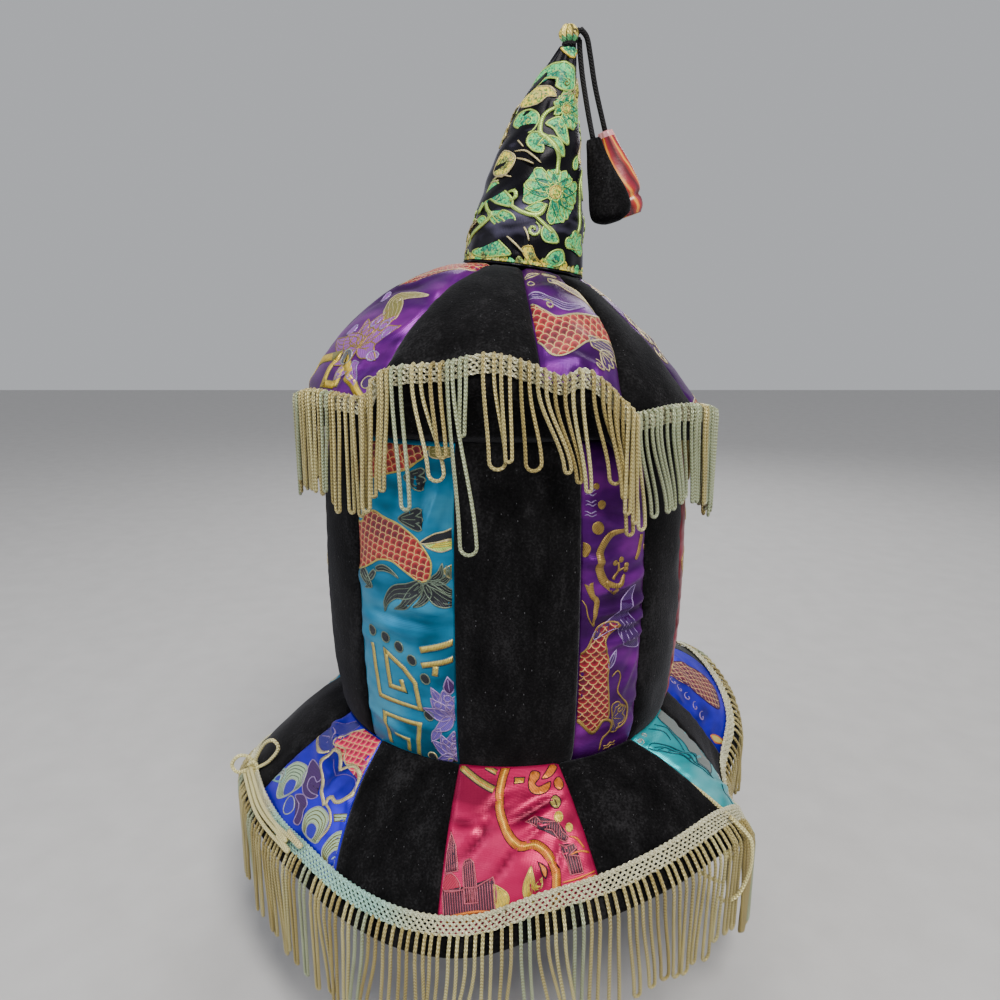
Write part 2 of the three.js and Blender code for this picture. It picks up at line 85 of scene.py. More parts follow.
# The spire's foot, the end of its hem, where its tip starts to draw in, and its top
SPIRE_FOOT, SPIRE_HEM, SPIRE_DRAWN, SPIRE_TOP = 245, 252, 330, 357
# The spire's stretch of pattern to a degree
SPIRE_TURN = 0.45
# The tuft's middle, to the side, and its foot's height
TUFT_X, TUFT_FOOT = 33, 357.4
# Radii of the fringe's loops, of its loose cord and of a header's cords, with their sides
LOOP_RADIUS, LOOSE_RADIUS, HEADER_RADIUS = 0.88, 1.1, 0.62
HEADER_SIDES = 5
# The wave of a header's cords, and how far off the cloth they lie
HEADER_WAVE, HEADER_LIFT = 3.1, 1.9
BRIM_LOOPS = 116

# Each crown panel starts at this angle and ends where the next starts
CROWN_PANELS = [
    (-78, "velvet"),
    (-47, "turquoise"),
    (-14, "velvet"),
    (20.5, "purple"),
    (43, "velvet"),
    (70, "wine"),
    (98, "velvet"),
    (127, "royal"),
    (156, "velvet"),
    (186, "crimson"),
    (218, "velvet"),
    (250, "purple"),
]
# Brim panels: the seam's angle at the crown, its angle at the brim's edge, and the cloth
BRIM_PANELS = [
    (-66, -72, "royal"),
    (-43, -37, "velvet"),
    (-14, -13, "crimson"),
    (16, 18, "velvet"),
    (44, 53, "aqua"),
    (68, 73, "velvet"),
    (85, 89, "royal"),
    (125, 122, "velvet"),
    (158, 157, "purple"),
    (190, 190, "velvet"),
    (224, 222, "turquoise"),
    (258, 256, "velvet"),
]
# The brim's edge once round: angle, distance from the axis, height
BRIM_EDGE = [
    (-86, 158, -49), (-70, 151, -51), (-58, 146, -53), (-46, 144, -52), (-32, 144, -57),
    (-18, 145, -59), (-6, 146, -55), (6, 146, -44), (18, 146, -39), (32, 147, -34),
    (46, 148, -33), (56, 149, -41), (66, 147, -58), (76, 139, -66), (86, 138, -58),
    (97, 152, -42), (108, 158, -28), (119, 158, -17), (131, 158, -21), (146, 155, -40),
    (162, 153, -54), (180, 152, -57), (198, 153, -50), (214, 155, -48), (230, 154, -57),
    (246, 152, -60), (260, 155, -56),
]
# The canopy's scallops: the angles of their three seams, their two cloths, and the rim by angle,
# distance from the axis and height
SCALLOPS = [
    ((-32, 8, 28.5), ("velvet", "purple"),
     [(-32, 116, 178), (-28, 114, 190), (-13, 111, 194.5), (-4, 111, 198), (5, 111, 194), (12, 111, 188.5),
      (18, 112, 191), (28.5, 117, 171)]),
    ((28.5, 62.5, 100), ("velvet", "purple"),
     [(28.5, 109, 170), (45, 111, 173), (62.5, 112, 170), (82, 112, 164), (100, 115, 160)]),
    ((100, 136, 172), ("velvet", "turquoise"),
     [(100, 110, 167), (118, 111, 174), (136, 111, 176), (155, 112, 173), (172, 116, 164)]),
    ((172, 208, 246), ("velvet", "crimson"),
     [(172, 110, 171), (190, 111, 178), (208, 111, 180), (228, 112, 176), (246, 116, 165)]),
    ((246, 283, 328), ("velvet", "purple"),
     [(246, 110, 169), (264, 111, 173), (283, 111, 174), (305, 111, 179), (328, 109, 177)]),
]
# The canopy's seams that don't run straight up, by their angle at the rim: how far each has leant by
# the ring and how far it bows out, in degrees, and how far up from the rim a seam stays unbowed
SEAM_STRAIGHT = 1 / 6
CURVED_SEAMS = {8: (-11.5, 0), 28.5: (0, 7)}
# The dome over the scallops once round: angle, distance from the axis and height of the rim that it
# would have without them, and how full it is
DOME = [(-83, 111, 174, 1.52), (0, 111, 188, 1.36), (75, 111, 167, 1.12), (180, 111, 173, 1.42)]
# The spire's sections: height, how far its middle has leant to the side, radius
SPIRE_SECTIONS = [
    (245, 10, 32.8), (255, 11, 31.8), (270, 12.7, 29.6), (290, 15.4, 25.8),
    (310, 18.8, 20.8), (330, 23.2, 14.9), (347, 29, 8), (357, 32.4, 3.8),
]


def polar(angle, radius, height):
    """Points by angle from the front in degrees, distance from the axis and height."""
    turn = np.radians(angle)
    return np.stack(np.broadcast_arrays(radius * np.sin(turn), -radius * np.cos(turn), height), -1)


def mix(a, b, share):
    return a + (b - a) * share


def unit(vectors):
    """Vectors brought to a length of one."""
    return vectors / np.maximum(np.linalg.norm(vectors, axis=-1, keepdims=True), 1e-9)


def curve_at(rows, column, at, loop=False):
    """A column's value on a smooth curve through rows, by their first column; a loop goes once round."""
    knots = np.array([row[0] for row in rows], float)
    values = np.array([row[column] for row in rows], float)
    at = np.asarray(at, float)
    if loop:
        knots = np.concatenate((knots[-2:] - 360, knots, knots[:2] + 360))
        values = np.concatenate((values[-2:], values, values[:2]))
        at = np.mod(at - rows[0][0], 360) + rows[0][0]
    places = np.arange(len(knots))
    low, high = np.maximum(places - 1, 0), np.minimum(places + 1, places[-1])
    slopes = (values[high] - values[low]) / (knots[high] - knots[low])
    i = np.clip(np.searchsorted(knots, at, side="right") - 1, 0, len(knots) - 2)
    span = knots[i + 1] - knots[i]
    t = (at - knots[i]) / span
    rise = t * t * (3 - 2 * t)
    bend = slopes[i] * t * (1 - t) ** 2 + slopes[i + 1] * t * t * (t - 1)
    return mix(values[i], values[i + 1], rise) + span * bend


def crown_point(angle, v, lift):
    bulge = CROWN_BULGE * np.sqrt(np.clip(np.sin(np.pi * np.clip(v, 0, 1)), 0, 1))
    return polar(angle, CROWN_BASE + bulge + lift, mix(CROWN_BOTTOM, CROWN_TOP, v))


def seam_at(rim, v):
    """The angle of a canopy seam, from the rim (v 0) to the ring (v 1)."""
    lean, bow = CURVED_SEAMS.get(rim, (0, 0))
    up = np.maximum(0, (v - SEAM_STRAIGHT) / (1 - SEAM_STRAIGHT))
    return rim + lean * v * v + bow * np.sin(np.pi * up) ** 2


def canopy_point(rim, angle, v, lift):
    """A point of the canopy from the rim (v 0) to the ring under the spire (v 1)."""
    base_radius, base_height, fullness = (curve_at(DOME, k, angle, True) for k in (1, 2, 3))
    within = np.clip(angle, rim[0][0], rim[-1][0])
    spread, rise = (curve_at(rim, k, within) - base for k, base in ((1, base_radius), (2, base_height)))
    power, turn, fade = 2 / fullness, v * np.pi / 2, (1 - v) ** 3
    ring = polar(angle, RING_RADIUS, 0.0)
    ring_height = RING_HEIGHT + RING_SLOPE * ring[..., 0]
    ring[..., 0] += RING_X
    cos, sin = np.clip(np.cos(turn), 0, 1), np.sin(turn)
    point = mix(ring, polar(angle, base_radius, 0.0), (cos**power)[..., None])
    point = point + polar(angle, spread * fade + lift * cos, 0.0)
    point[..., 2] = mix(base_height, ring_height, sin**power) + rise * fade + lift * sin
    return point


def brim_point(angle, v, lift):
    """A point of the brim from the crown (v 0) to its edge (v 1) and straight on past it."""
    radius, height = (curve_at(BRIM_EDGE, k, angle, True) for k in (1, 2))
    start = CROWN_BASE + GAP
    run = radius - start
    length = np.hypot(run, height)
    middle_radius = start + run / 2 - height / length * 2 * BRIM_BULGE
    middle_height = height / 2 + run / length * 2 * BRIM_BULGE
    t = np.minimum(v, 1)
    r = (1 - t) ** 2 * start + 2 * t * (1 - t) * middle_radius + t * t * radius
    z = 2 * t * (1 - t) * middle_height + t * t * height
    along_r = (1 - t) * (middle_radius - start) + t * (radius - middle_radius)
    along_z = (1 - t) * middle_height + t * (height - middle_height)
    size = np.hypot(along_r, along_z)
    past = np.maximum(v - 1, 0) * length
    r = r + along_r / size * past - along_z / size * lift
    z = z + along_z / size * past + along_r / size * lift
    return polar(angle, r, z)


def brim_length(angle):
    radius, height = (curve_at(BRIM_EDGE, k, angle, True) for k in (1, 2))
    return np.hypot(radius - CROWN_BASE - GAP, height)


def spire_point(angle, height, lift):
    """A point of the spire by angle round it and height up its axis."""
    span = (height - SPIRE_FOOT) / (SPIRE_TOP - SPIRE_FOOT)
    lean, radius = (curve_at(SPIRE_SECTIONS, k, height) for k in (1, 2))
    point = polar(angle, radius + lift, 0.0)
    point[..., 2] = height + RING_SLOPE * point[..., 0] * (1 - np.clip(span, 0, 1)) ** 3
    point[..., 0] += lean
    return point


class Cloth:
    """Gathers grids of faces for one object, with a UV, a finish and a tint on each face's corners."""

    def __init__(self):
        self.points, self.faces, self.uvs, self.slots, self.tints = [], [], [], [], []
        self.count = 0

    def add(self, points, faces, uvs, slot, tint):
        """Points (n, 3) in millimetres, faces as rows of point numbers, and a UV for each corner. The
        slot and the tint are one for all the faces or one for each, and a tint can go by corner too."""
        faces = np.asarray(faces, int)
        self.points.append(np.asarray(points, float).reshape(-1, 3))
        self.faces.extend((faces + self.count).tolist())
        self.uvs.append(np.asarray(uvs, float).reshape(-1, 2))
        self.slots.append(np.broadcast_to(slot, len(faces)))
        if np.ndim(tint) < 3:
            tint = np.broadcast_to(np.asarray(tint, float), (len(faces), 3))[:, None]
        tints = np.broadcast_to(tint, (*faces.shape, 3)).reshape(-1, 3)
        self.tints.append(np.concatenate((tints, np.ones((len(tints), 1))), 1))
        self.count += len(self.points[-1])

    def grid(self, points, uv, tint=(1, 1, 1)):
        """A grid of points; a uv grid that is one longer on a side closes the grid on that side."""
        rows, columns = points.shape[:2]
        r, c = (a.ravel() for a in np.indices((uv.shape[0] - 1, uv.shape[1] - 1)))
        corners = [(r, c), (r, c + 1), (r + 1, c + 1), (r + 1, c)]
        faces = np.stack([(i % rows) * columns + j % columns for i, j in corners], -1)
        uvs = np.stack([uv[i, j] for i, j in corners], 1)
        if np.ndim(tint) == 3:
            tint = np.stack([tint[i % rows, j % columns] for i, j in corners], 1)
        self.add(points, faces, uvs, 0, tint)

    def lid(self, ring, uv, tint=(1, 1, 1), turned=False):
        """A fan that closes a ring of points."""
        count = len(ring)
        points = np.concatenate((ring, ring.mean(0)[None]))
        faces = [((i + 1) % count, i, count) for i in range(count)]
        faces = [face[::-1] for face in faces] if turned else faces
        self.add(points, faces, np.broadcast_to(uv, (count * 3, 2)), 0, tint)

    def make(self, name, materials):
        """The object, at the origin, in metres, with its faces turned outwards."""
        mesh = bpy.data.meshes.new(name)
        mesh.from_pydata((np.concatenate(self.points) * MM).tolist(), [], self.faces)
        mesh.uv_layers.new(name="cloth").data.foreach_set("uv", np.concatenate(self.uvs).ravel())
        tint = mesh.color_attributes.new(name="tint", type="FLOAT_COLOR", domain="CORNER")
        tint.data.foreach_set("color", np.concatenate(self.tints).ravel())
        mesh.polygons.foreach_set("material_index", np.concatenate(self.slots).astype(np.int32))
        for material in materials:
            mesh.materials.append(material)
        body = bmesh.new()
        body.from_mesh(mesh)
        bmesh.ops.remove_doubles(body, verts=body.verts, dist=MM * 1e-3)
        bmesh.ops.recalc_face_normals(body, faces=body.faces)
        body.to_mesh(mesh)
        body.free()
        mesh.shade_smooth()
        piece = bpy.data.objects.new(name, mesh)
        bpy.context.scene.collection.objects.link(piece)
        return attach(piece, "root")


def tubes(cloth, paths, radius, sides, tint=(1, 1, 1), closed=False):
    """Round cords along paths (cords, points, 3), with frames carried along so that they don't twist."""
    paths = np.asarray(paths, float)
    ahead = np.roll(paths, -1, 1) if closed else np.concatenate((paths[:, 1:], paths[:, -1:]), 1)
    behind = np.roll(paths, 1, 1) if closed else np.concatenate((paths[:, :1], paths[:, :-1]), 1)
    along = unit(ahead - behind)
    count, length = paths.shape[:2]
    out = np.zeros_like(paths)
    previous = paths[:, 0] * (1, 1, 0) + (1e-3, 0, 0)
    for i in range(length):
        previous = unit(previous - along[:, i] * (previous * along[:, i]).sum(-1, keepdims=True))
        out[:, i] = previous
    side = np.cross(along, out)
    turn = np.arange(sides) * 2 * np.pi / sides
    rings = paths[:, :, None] + radius * (
        out[:, :, None] * np.cos(turn)[:, None] + side[:, :, None] * np.sin(turn)[:, None]
    )
    walked = np.linalg.norm(np.diff(paths, axis=1, append=paths[:, :1]), axis=-1)
    reach = np.concatenate((np.zeros((count, 1)), np.cumsum(walked, 1)), 1)
    reach = reach if closed else reach[:, :-1]
    for ring, at in zip(rings, reach):
        uv = np.stack(np.meshgrid(at, np.linspace(0, 1, sides + 1), indexing="ij"), -1)
        cloth.grid(ring, uv, tint)
        if not closed:
            cloth.lid(ring[0], uv[0, 0], tint, turned=True)
            cloth.lid(ring[-1], uv[-1, 0], tint)


class Value:
    """A number or colour that a node gives out; arithmetic on it adds Math nodes."""

    def __init__(self, finish, socket):
        self.finish, self.socket = finish, socket

    def math(self, operation, *values):
        return self.finish.node("ShaderNodeMath", {"operation": operation}, dict(enumerate(values)))

    def __add__(self, other):
        return self.math("ADD", self, other)

    def __sub__(self, other):
        return self.math("SUBTRACT", self, other)

    def __mul__(self, other):
        return self.math("MULTIPLY", self, other)

    def __truediv__(self, other):
        return self.math("DIVIDE", self, other)

    def __gt__(self, other):
        return self.math("GREATER_THAN", self, other)

    def __lt__(self, other):
        return self.math("LESS_THAN", self, other)

    def sine(self):
        return self.math("SINE", self)

    def part(self):
        return self.math("FRACT", self)

    def size(self):
        return self.math("ABSOLUTE", self)


class Finish:
    """A material: one shader, its constants, and the nodes that vary over the cloth."""

    def __init__(self, name, **constants):
        self.material = bpy.data.materials.new(name)
        self.material.use_nodes = True
        self.tree = self.material.node_tree
        self.shader = self.tree.nodes["Principled BSDF"]
        for socket, value in constants.items():
            self.shader.inputs[socket.replace("_", " ")].default_value = value

    def node(self, kind, settings=None, inputs=None, output=0):
        """Any node: its settings first, a ramp's stops among them, then its sockets' values or links."""
        made = self.tree.nodes.new(kind)
        for setting, value in (settings or {}).items():
            if setting == "stops":
                ramp = made.color_ramp.elements
                while len(ramp) < len(value):
                    ramp.new(1)
                for stop, (at, colour) in zip(ramp, value):
                    stop.position, stop.color = at, (*colour, 1)
            else:
                setattr(made, setting, value)
        for socket, value in (inputs or {}).items():
            if isinstance(value, Value):
                self.tree.links.new(value.socket, made.inputs[socket])
            else:
                made.inputs[socket].default_value = value
        return Value(self, made.outputs[output])

    def place(self):
        return self.node("ShaderNodeTexCoord", output="Object")

    def cloth(self):
        """The place on the cloth: along and across, in millimetres."""
        uv = self.node("ShaderNodeUVMap", {"uv_map": "cloth"})
        split = self.node("ShaderNodeSeparateXYZ", inputs={0: uv})
        return split, Value(self, split.socket.node.outputs[1])

    def noise(self, scale, detail=3.0, stretch=(1, 1, 1), roughness=0.55):
        at = self.node("ShaderNodeMapping", inputs={0: self.place(), 3: stretch})
        sockets = {"Vector": at, "Scale": scale, "Detail": detail, "Roughness": roughness}
        return self.node("ShaderNodeTexNoise", inputs=sockets)

    def ramp(self, value, *stops):
        return self.node("ShaderNodeValToRGB", {"stops": stops}, {0: value})

    def blend(self, share, low, high, way="MIX"):
        settings = {"data_type": "RGBA", "blend_type": way}
        low, high = (c if isinstance(c, Value) else (*c, 1) for c in (low, high))
        return self.node("ShaderNodeMix", settings, {0: share, 6: low, 7: high}, output=2)

    def tinted(self, shade):
        """A shade in the tint of each corner."""
        tint = self.node("ShaderNodeAttribute", {"attribute_name": "tint"})
        return self.blend(1.0, tint, shade, "MULTIPLY")

    def bump(self, height, strength, distance):
        sockets = {"Height": height, "Strength": strength, "Distance": distance}
        return self.node("ShaderNodeBump", inputs=sockets)

    def feed(self, **inputs):
        for socket, value in inputs.items():
            self.tree.links.new(value.socket, self.shader.inputs[socket.replace("_", " ")])
        return self.material


def velvet(colour):
    """Cotton velvet: pile that catches light at its edges, brushed marks and specks of lint."""
    finish = Finish("black_velvet", Sheen_Weight=0.16, Sheen_Roughness=0.4,
                    Sheen_Tint=(0.5, 0.5, 0.56, 1), Specular_IOR_Level=0.06, Roughness=0.97)
    brushed = finish.noise(60.0, 5.0, (1, 1, 0.4), 0.7)
    pile = finish.noise(900.0, 3.0)
    colour = np.array(colour)
    nap = finish.ramp(brushed * 0.6 + pile * 0.4, (0.38, 0.3 * colour), (0.52, colour),
                      (0.66, 3.4 * colour))
    at = finish.node("ShaderNodeMapping", inputs={0: finish.place(), 3: (1, 1, 0.4)})
    specks = finish.node("ShaderNodeTexVoronoi", inputs={"Vector": at, "Scale": 480.0})
    lint = (specks < 0.085) * (finish.noise(110.0, 2.0) > 0.52)
    coloured = finish.blend(lint, nap, (0.085, 0.085, 0.09))
    return finish.feed(Base_Color=coloured, Normal=finish.bump(pile + brushed, 0.4, 0.0007))


def satin(name, colour, shine):
    """Satin brocade ground: fine warp threads, and broad streaks of painted sheen and painted shade, deeper
    in their low parts and brighter towards the shine colour in their high parts.
    """
    finish = Finish(name, Sheen_Weight=0.1, Sheen_Roughness=0.3, Sheen_Tint=(*shine, 1),
                    Specular_IOR_Level=0.25, Metallic=0.5, Roughness=0.36)
    along, across = finish.cloth()
    threads = (across * 9.0).sine() * 0.5 + (along * 9.0).sine() * 0.25
    # Painted sheen and shade: broad streaks, lying flat across the hat, stand in for light and shade on
    # wrinkles
    shade = finish.noise(30.0, 3.0, (0.7, 0.7, 1.5))
    colour, shine = np.array(colour), np.array(shine)
    ground = finish.ramp(shade, (0.36, 0.4 * colour), (0.52, colour), (0.7, mix(colour, shine, 0.3)))
    woven = finish.blend(threads * 0.08 + 0.08, ground, 0.5 * colour)
    # On creased panels the corners' tint carries painted shade in the creases' troughs
    woven = finish.tinted(woven)
    height = threads * 0.4 + finish.noise(260.0, 2.0) * 0.25
    return finish.feed(Base_Color=woven, Normal=finish.bump(height, 0.16, 0.0005))


@cache
def chainette():
    """Knitted rayon cord: a row of leaning stitches each way round, in the cord's own tint, with painted
    shade in the grooves between the stitches.
    """
    finish = Finish("chainette", Sheen_Weight=0.15, Specular_IOR_Level=0.6, Metallic=0.3, Roughness=0.38)
    along, around = finish.cloth()
    leaning = ((around * 4.0).part() - 0.5).size() * 1.1
    stitch = (((along / 1.7) + leaning).part() - 0.5).size() * 2.0
    worn = finish.noise(60.0, 3.0)
    # Painted shade: the cord's tint is darkened where the stitches' bump is lowest, in the grooves between
    # them
    shade = finish.ramp(stitch * 0.7 + worn * 0.5, (0.24, (0.3, 0.23, 0.14)), (0.48, (0.8, 0.75, 0.62)),
                        (0.85, (1, 1, 1)))
    coloured = finish.tinted(shade)
    return finish.feed(Base_Color=coloured, Normal=finish.bump(stitch, 0.8, 0.0006))


def silk():
    """Printed silk: red with slanting flame stripes, and a pale hem at the top."""
    finish = Finish("printed_silk", Sheen_Weight=0.2, Specular_IOR_Level=0.6, Roughness=0.3)
    along, around = finish.cloth()
    slant = (around * 0.11 + along * 0.03 + finish.noise(60.0, 2.0) * 0.45).part()
    flame = finish.ramp(slant, (0.0, (0.08, 0.002, 0.008)), (0.3, (0.26, 0.003, 0.025)),
                        (0.48, (0.4, 0.02, 0.015)), (0.56, (0.8, 0.22, 0.015)),
                        (0.66, (0.85, 0.42, 0.05)), (0.74, (0.45, 0.03, 0.015)),
                        (1.0, (0.08, 0.002, 0.008)))
    hem = (along < 3.2) * 0.75
    coloured = finish.blend(hem, flame, (0.75, 0.35, 0.4))
    return finish.feed(Base_Color=coloured, Normal=finish.bump(finish.noise(300.0, 2.0), 0.2, 0.0005))


@cache
def thread():
    """Flat silk thread in the tint's colour, with its slanting stitches."""
    finish = Finish("silk_thread", Sheen_Weight=0.05, Specular_IOR_Level=0.35, Roughness=0.45)
    along, across = finish.cloth()
    stitch = ((along + across) * 5.2).sine() * 0.5 + 0.5
    shade = finish.ramp(stitch, (0.1, (0.62, 0.62, 0.64)), (0.8, (1, 1, 1)))
    coloured = finish.tinted(shade)
    return finish.feed(Base_Color=coloured, Normal=finish.bump(stitch, 0.35, 0.0003))


@cache
def gold_thread():
    """Gold thread: bright and dark stitches across the line."""
    finish = Finish("gold_thread", Metallic=0.55, Roughness=0.42)
    along, across = finish.cloth()
    stitch = ((along * 8.0) + (across * 4.0)).sine() * 0.5 + 0.5
    worn = finish.noise(420.0, 2.0)
    shade = finish.ramp(stitch * 0.4 + worn * 0.7, (0.3, (0.45, 0.38, 0.28)), (0.55, (0.9, 0.88, 0.84)),
                        (0.8, (1, 1, 1)))
    coloured = finish.tinted(shade)
    return finish.feed(Base_Color=coloured, Normal=finish.bump(stitch, 0.3, 0.0002))


@cache
def stippled():
    """Close stitches of mixed thread: the tint with deeper and yellower flecks."""
    finish = Finish("mixed_thread", Sheen_Weight=0.05, Specular_IOR_Level=0.35, Roughness=0.5)
    flecks = finish.noise(900.0, 2.0)
    shade = finish.ramp(flecks, (0.42, (0.1, 0.3, 0.42)), (0.5, (0.8, 0.85, 0.8)), (0.57, (1, 1, 1)))
    coloured = finish.tinted(shade)
    bright = (finish.noise(760.0, 1.0) > 0.57) * 0.5
    mixed = finish.blend(bright, coloured, (0.5, 0.7, 0.18))
    return finish.feed(Base_Color=mixed, Normal=finish.bump(flecks, 0.5, 0.0003))


# A woven scale's width in millimetres
SCALE = 5.0


@cache
def fish_scales():
    """Rows of round scales, each darker at its root, with gold arcs between them."""
    finish = Finish("woven_scales", Sheen_Weight=0.05, Specular_IOR_Level=0.35, Roughness=0.42)
    along, across = finish.cloth()
    row = across / (SCALE / 2)
    odd = (row.math("FLOOR", row) * 0.5).part()
    px = ((along / SCALE + odd).part() - 0.5) * 2.0
    py = row.part()
    reach = finish.node("ShaderNodeMath", {"operation": "SQRT"}, {0: px * px + py * py})
    shade = finish.ramp(reach * 0.7, (0.0, (0.2, 0.14, 0.16)), (0.3, (0.5, 0.46, 0.5)),
                        (0.6, (1, 0.97, 0.93)), (0.72, (0.6, 0.53, 0.53)), (0.98, (0.27, 0.23, 0.25)))
    coloured = finish.tinted(shade)
    edge = ((reach - 0.97).size() < 0.085) * 0.85
    threads = ((along + across) * 6.0).sine() * 0.2
    patchy = finish.ramp(finish.noise(55.0, 2.0), (0.36, (0.4, 0.3, 0.95)), (0.5, (1, 0.9, 1)),
                         (0.64, (1, 1, 0.55)))
    coloured = finish.blend(0.75, coloured, finish.blend(1.0, coloured, patchy, "MULTIPLY"))
    gilt = finish.blend(edge, coloured, (0.6, 0.42, 0.15))
    return finish.feed(Base_Color=gilt, Normal=finish.bump(reach + threads, 0.4, 0.0004))


def ripple(x, y, seed, wide, tall):
    """Smooth unevenness from about -1 to 1, in swells of about this size."""
    chance = np.random.default_rng(seed)
    total = 0.0
    for _ in range(6):
        turn, pace, shift = chance.uniform(0, (2 * np.pi, 1, 2 * np.pi))
        pace = (0.7 + pace) * 2 * np.pi
        total = total + np.sin(pace * (x * np.cos(turn) / wide + y * np.sin(turn) / tall) + shift)
    return total / 3


def steps(length, step, crowded):
    """Shares from 0 to 1, about a step apart in millimetres and closer by both ends."""
    t = np.linspace(0, 1, max(4, round(length / step)) + 1)
    return mix(t, 0.5 - 0.5 * np.cos(np.pi * t), crowded)


# Creases that the photograph shows, by panel number: a crease's middle across and along its panel, its
# slant in degrees, half its length, its width and its height
CROWN_CREASES = {
    2: [(14, 84, 6, 14, 6, 1.2), (20, 132, 80, 14, 4, 0.9), (10, 140, 88, 10, 3, 0.6),
        (0, 71, 4, 22, 5, 0.9), (-8, 14, -8, 16, 4, 0.6)],
    4: [(-14, 107, 8, 9, 3.4, 1.2), (0, 93, 14, 16, 3.8, 1.4), (3, 81, 9, 18, 3.2, 1.3),
        (9, 73, 12, 14, 3, 1.1), (8, 64, 12, 14, 3, 1.3), (-6, 126, -20, 12, 3.4, 0.8),
        (10, 44, 70, 14, 3, 0.7)],
}
BRIM_CREASES = {
    1: [(-14, 12, 30, 14, 5, 1.3), (-2, 28, 20, 12, 4, 0.8), (14, 30, -60, 10, 4, 0.7)],
    3: [(-22, 25, 20, 7, 2.8, -0.9), (-12, 24.5, -25, 8, 2.6, -0.8), (-9, 17.4, -24, 9, 2.6, -0.7),
        (10, 23, -14, 15, 3.6, -1.2), (-17, 32.4, -30, 12, 3, -1.1), (-5, 43, -29, 9, 3, -0.9),
        (10, 33.4, -14, 6, 2.6, -0.8), (19.5, 46, -54, 7, 2.8, -0.9), (8.5, 57.5, -37, 6, 3, -0.8)],
    5: [(-4, 30, 30, 14, 4, 1.0), (4, 52, 20, 14, 4, 1.0)],
}
CANOPY_CREASES = {
    2: [(-4, 12, 84, 9, 4, 1.0), (8, 14, 96, 9, 4, 0.9), (-12, 62, 20, 12, 4, 0.8), (2, 24, 6, 12, 4, 0.7)],
    10: [(22, 22, 62, 12, 4, 1.0), (-4, 72, 40, 16, 4, 0.9), (30, 40, 74, 12, 3.4, 0.8)],
}


# How deep a crease's trough is that gets the darkest painted shade, in millimetres, and how dark that
# painted shade is
DARK_TROUGH, TROUGH_SHADE = 1.8, 0.72


def creased(x, y, creases):
    """The height of some creases: each a ridge between two shallow troughs."""
    total = 0.0
    for middle_x, middle_y, slant, reach, wide, high in creases:
        cos, sin = math.cos(math.radians(slant)), math.sin(math.radians(slant))
        along = ((x - middle_x) * cos + (y - middle_y) * sin) / reach
        across = ((y - middle_y) * cos - (x - middle_x) * sin + 1.2 * np.sin(along * 2)) / wide
        total = total + 1.9 * high * (1 - 1.6 * across**2) * np.exp(-(across**2) - along**2)
    return total


class Panel:
    """A sewn panel. place gives a point by share across, share along and lift; width is by share
    along, in millimetres, and length is the panel's length."""

    # How far its figures stand off it, and their step as a share of the usual one
    raised, fineness = 0.0, 1.0

    def __init__(self, place, width, length, puff, wall, cloth, seed, creases=()):
        self.place, self.width, self.length = place, width, length
        self.puff, self.wall, self.cloth, self.seed = puff, wall, cloth, seed
        self.creases = creases

    def spread(self, u, v):
        """The place on the panel in millimetres: across from its middle, and along."""
        return (u - 0.5) * self.width(v), v * self.length

    def relief(self, u, v):
        """How far the cloth stands out: padding, pinched seams with gathers, and folds."""
        sizes = bpy.context.scene.hat_cloth
        across, along = self.spread(u, v)
        edge = np.minimum(u, 1 - u) * self.width(v)
        soft = self.cloth != "velvet"
        pinch = sizes.seam_depth * np.exp(-((edge / sizes.seam_reach) ** 2))
        gathers = ripple(along, across * 0.2, self.seed, sizes.gather, 60) * np.exp(-edge / 7)
        folds = ripple(across, along, self.seed + 1, 46, 17 if soft else 34)
        where = np.clip(ripple(across, along, self.seed + 2, 70, 55) + 0.4, 0, 1)
        amount = sizes.satin_fold if soft else sizes.velvet_fold
        ends = np.clip(np.minimum(v, 1 - v) * self.length / 8, 0, 1)
        creases = creased(across, along, self.creases)
        folded = sizes.gather_depth * gathers + amount * folds * where + creases
        return self.puff(u, v) - pinch + folded * ends * np.clip(edge / 2.5, 0.15, 1)

    def at(self, u, v, lift=0.0):
        return self.place(u, v, self.relief(u, v) + lift)

    def make(self, name, node, material, step):
        """The panel's closed wall, in the CAD node's place."""
        width = float(self.width(0.5))
        u, v = np.meshgrid(steps(width, step, 0.6), steps(self.length, step, 0.2))
        inner = self.place(u, v, self.puff(u, v) * 0.5 - self.wall)
        ring = np.concatenate((self.at(u, v), inner[:, ::-1]), 1)
        uv = np.stack(self.spread(u, v), -1)
        uv = np.concatenate((uv, uv[:, ::-1], uv[:, :1]), 1)
        # Painted shade: the tint on the panel's corners is darkened in its creases' troughs, the more the
        # deeper they are
        hollow = np.clip(-creased(*self.spread(u, v), self.creases) / DARK_TROUGH, 0, 1) + 0 * u
        shade = 1 - TROUGH_SHADE * np.concatenate((hollow, hollow[:, ::-1]), 1)
        shape = Cloth()
        shape.grid(ring, uv, tint=shade[..., None] * (1, 1, 1))
        for row in (0, -1):
            edge = np.stack((self.at(u, v)[row], inner[row]))
            shape.grid(edge, np.stack((uv[row, : u.shape[1]],) * 2))
        piece = shape.make(name, [material])
        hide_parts(node)
        return piece


def puffed(u):
    return 1 - (2 * u - 1) ** 4


